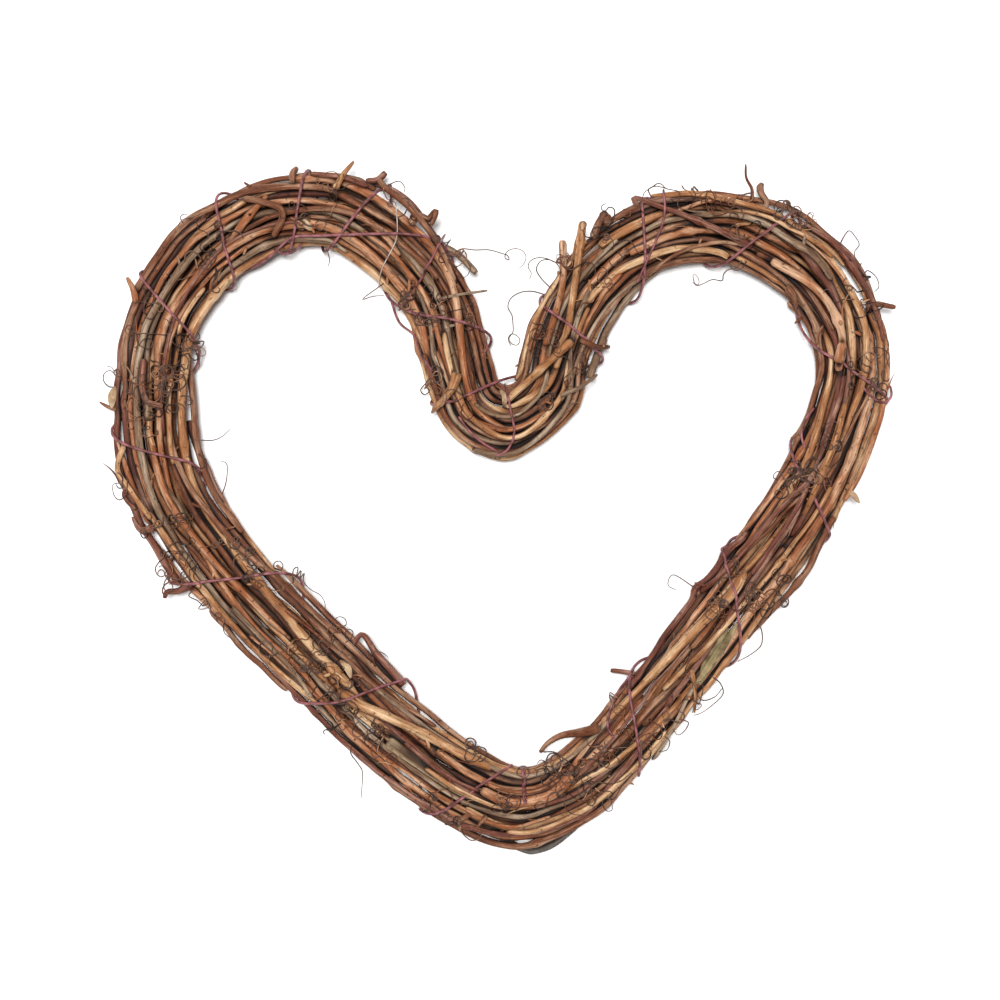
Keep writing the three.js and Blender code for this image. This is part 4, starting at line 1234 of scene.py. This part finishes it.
def dried_blade(piece_name, line, half_width, material, dice):
    """Shapes a fine grid into a leaf along a line, and gives it its thickness."""
    rows = len(line) - 1
    bpy.ops.object.select_all(action="DESELECT")
    bpy.ops.mesh.primitive_grid_add(x_subdivisions=rows, y_subdivisions=BLADE_COLUMNS, size=2)
    blade = bpy.context.active_object
    blade.name = piece_name
    _, across, _ = line_frames(line)
    flat_across = across - UP * across[:, 2:3]
    curls = [dice.uniform(*BLADE_CURL), dice.uniform(*BLADE_CURL)]
    for vertex in blade.data.vertices:
        row = round((vertex.co.x + 1) / 2 * rows)
        side = vertex.co.y
        share = row / rows
        width = half_width * (math.sin(math.pi * min(max(share, 0.02), 0.98)) ** 0.6)
        curl = curls[0] if side < 0 else curls[1]
        fold = curl * side * side * 0.5 + BLADE_FOLD * abs(side)
        wave = BLADE_WAVE * math.sin(9 * share + 3 * side)
        vertex.co = Vector(line[row] + flat_across[row] * side * width + UP * width * (fold + wave))
    wall = blade.modifiers.new("thickness", "SOLIDIFY")
    wall.thickness = BLADE_THICKNESS
    wall.offset = 0
    bpy.ops.object.modifier_apply(modifier=wall.name)
    bpy.ops.object.shade_smooth()
    blade.data.materials.append(material)
    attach(blade, "root")
    return blade


leaf_centres, leaf_radii = node_rings("dried_leaf_blade")
leaf_line, _ = smooth_line(leaf_centres, leaf_radii, LEAF_STEP)
leaf_width = leaf_radii.max() * LEAF_WIDTH_SHARE
leaf = dried_blade("dried_leaf", leaf_line, leaf_width, LEAF_SKIN, random.Random(LEAF_SEED))
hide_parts("dried_leaf_blade")

# Husks and flakes: the path by pixels, half the width in millimetres, and the material
HUSKS = {
    "pale_husk": ([(305, 221), (309, 228), (315, 232)], 1.3, HUSK_SKIN),
    "tan_flake": ([(114, 386), (111, 397), (112, 408)], 1.6, HUSK_SKIN),
    "long_leaf_strip": ([(728, 628), (716, 645), (706, 664), (699, 684)], 1.9, LEAF_SKIN),
    "curled_flake": ([(340, 660), (348, 668), (351, 678)], 1.3, HUSK_SKIN),
    "bark_flake": ([(846, 489), (852, 495), (858, 503)], 1.1, HUSK_SKIN),
    "flake_at_the_notch": ([(500, 390), (505, 398), (503, 408)], 1.1, HUSK_SKIN),
}
for seed, (husk_name, (path, half_width, husk_material)) in enumerate(HUSKS.items(), HUSK_SEED):
    husk_line = laid_over(rooted(traced(path)), HUSK_REACH, HUSK_STEP, rise=HUSK_RISE)
    dried_blade(husk_name, husk_line, half_width * MM, husk_material, random.Random(seed))


# The room

def soft_light(name, place, size, power):
    """A square light that points at the wreath."""
    data = bpy.data.lights.new(name, "AREA")
    data.shape = "SQUARE"
    data.size = size
    data.energy = power
    light = bpy.data.objects.new(name, data)
    light.location = place
    light.rotation_euler = (-Vector(place)).to_track_quat("-Z", "Y").to_euler()
    bpy.context.scene.collection.objects.link(light)


def pale_floor():
    bpy.ops.object.select_all(action="DESELECT")
    bpy.ops.mesh.primitive_plane_add(size=FLOOR_SIZE, location=(0, 0, -FLOOR_DROP))
    floor = bpy.context.active_object
    floor.name = "pale_floor"
    material = new_material("matt_white_paper")
    shader = add_node(
        material, "BsdfPrincipled",
        {"Base Color": linear(FLOOR_COLOUR), "Roughness": 0.9, "Specular IOR Level": 0.1},
    )
    add_node(material, "OutputMaterial", links={"Surface": (shader, 0)})
    floor.data.materials.append(material)


def studio():
    world = bpy.data.worlds.new("studio")
    world.use_nodes = True
    sky = world.node_tree.nodes["Background"].inputs
    sky["Color"].default_value = (1, 1, 1, 1)
    sky["Strength"].default_value = SKY_STRENGTH
    bpy.context.scene.world = world
    soft_light("overhead_light", place=(-0.1, 0.17, 2.5), size=0.5, power=84)
    soft_light("window_light", place=(-0.75, 0.95, 1.0), size=0.6, power=3)
    bpy.context.scene.view_settings.view_transform = "Standard"


def camera():
    data = bpy.data.cameras.new("camera")
    data.lens = CAMERA_LENS
    data.sensor_width = CAMERA_SENSOR
    data.clip_end = CAMERA_REACH
    width = PHOTO_SIZE * PHOTO_MM * MM
    height = FOCUS_HEIGHT + width * CAMERA_LENS / CAMERA_SENSOR
    across = (PHOTO_SIZE / 2 - PHOTO_ORIGIN[0]) * PHOTO_MM * MM
    along = (PHOTO_ORIGIN[1] - PHOTO_SIZE / 2) * PHOTO_MM * MM
    view = bpy.data.objects.new("camera", data)
    view.location = (across, along, height)
    bpy.context.scene.collection.objects.link(view)
    bpy.context.scene.camera = view


pale_floor()
studio()
camera()
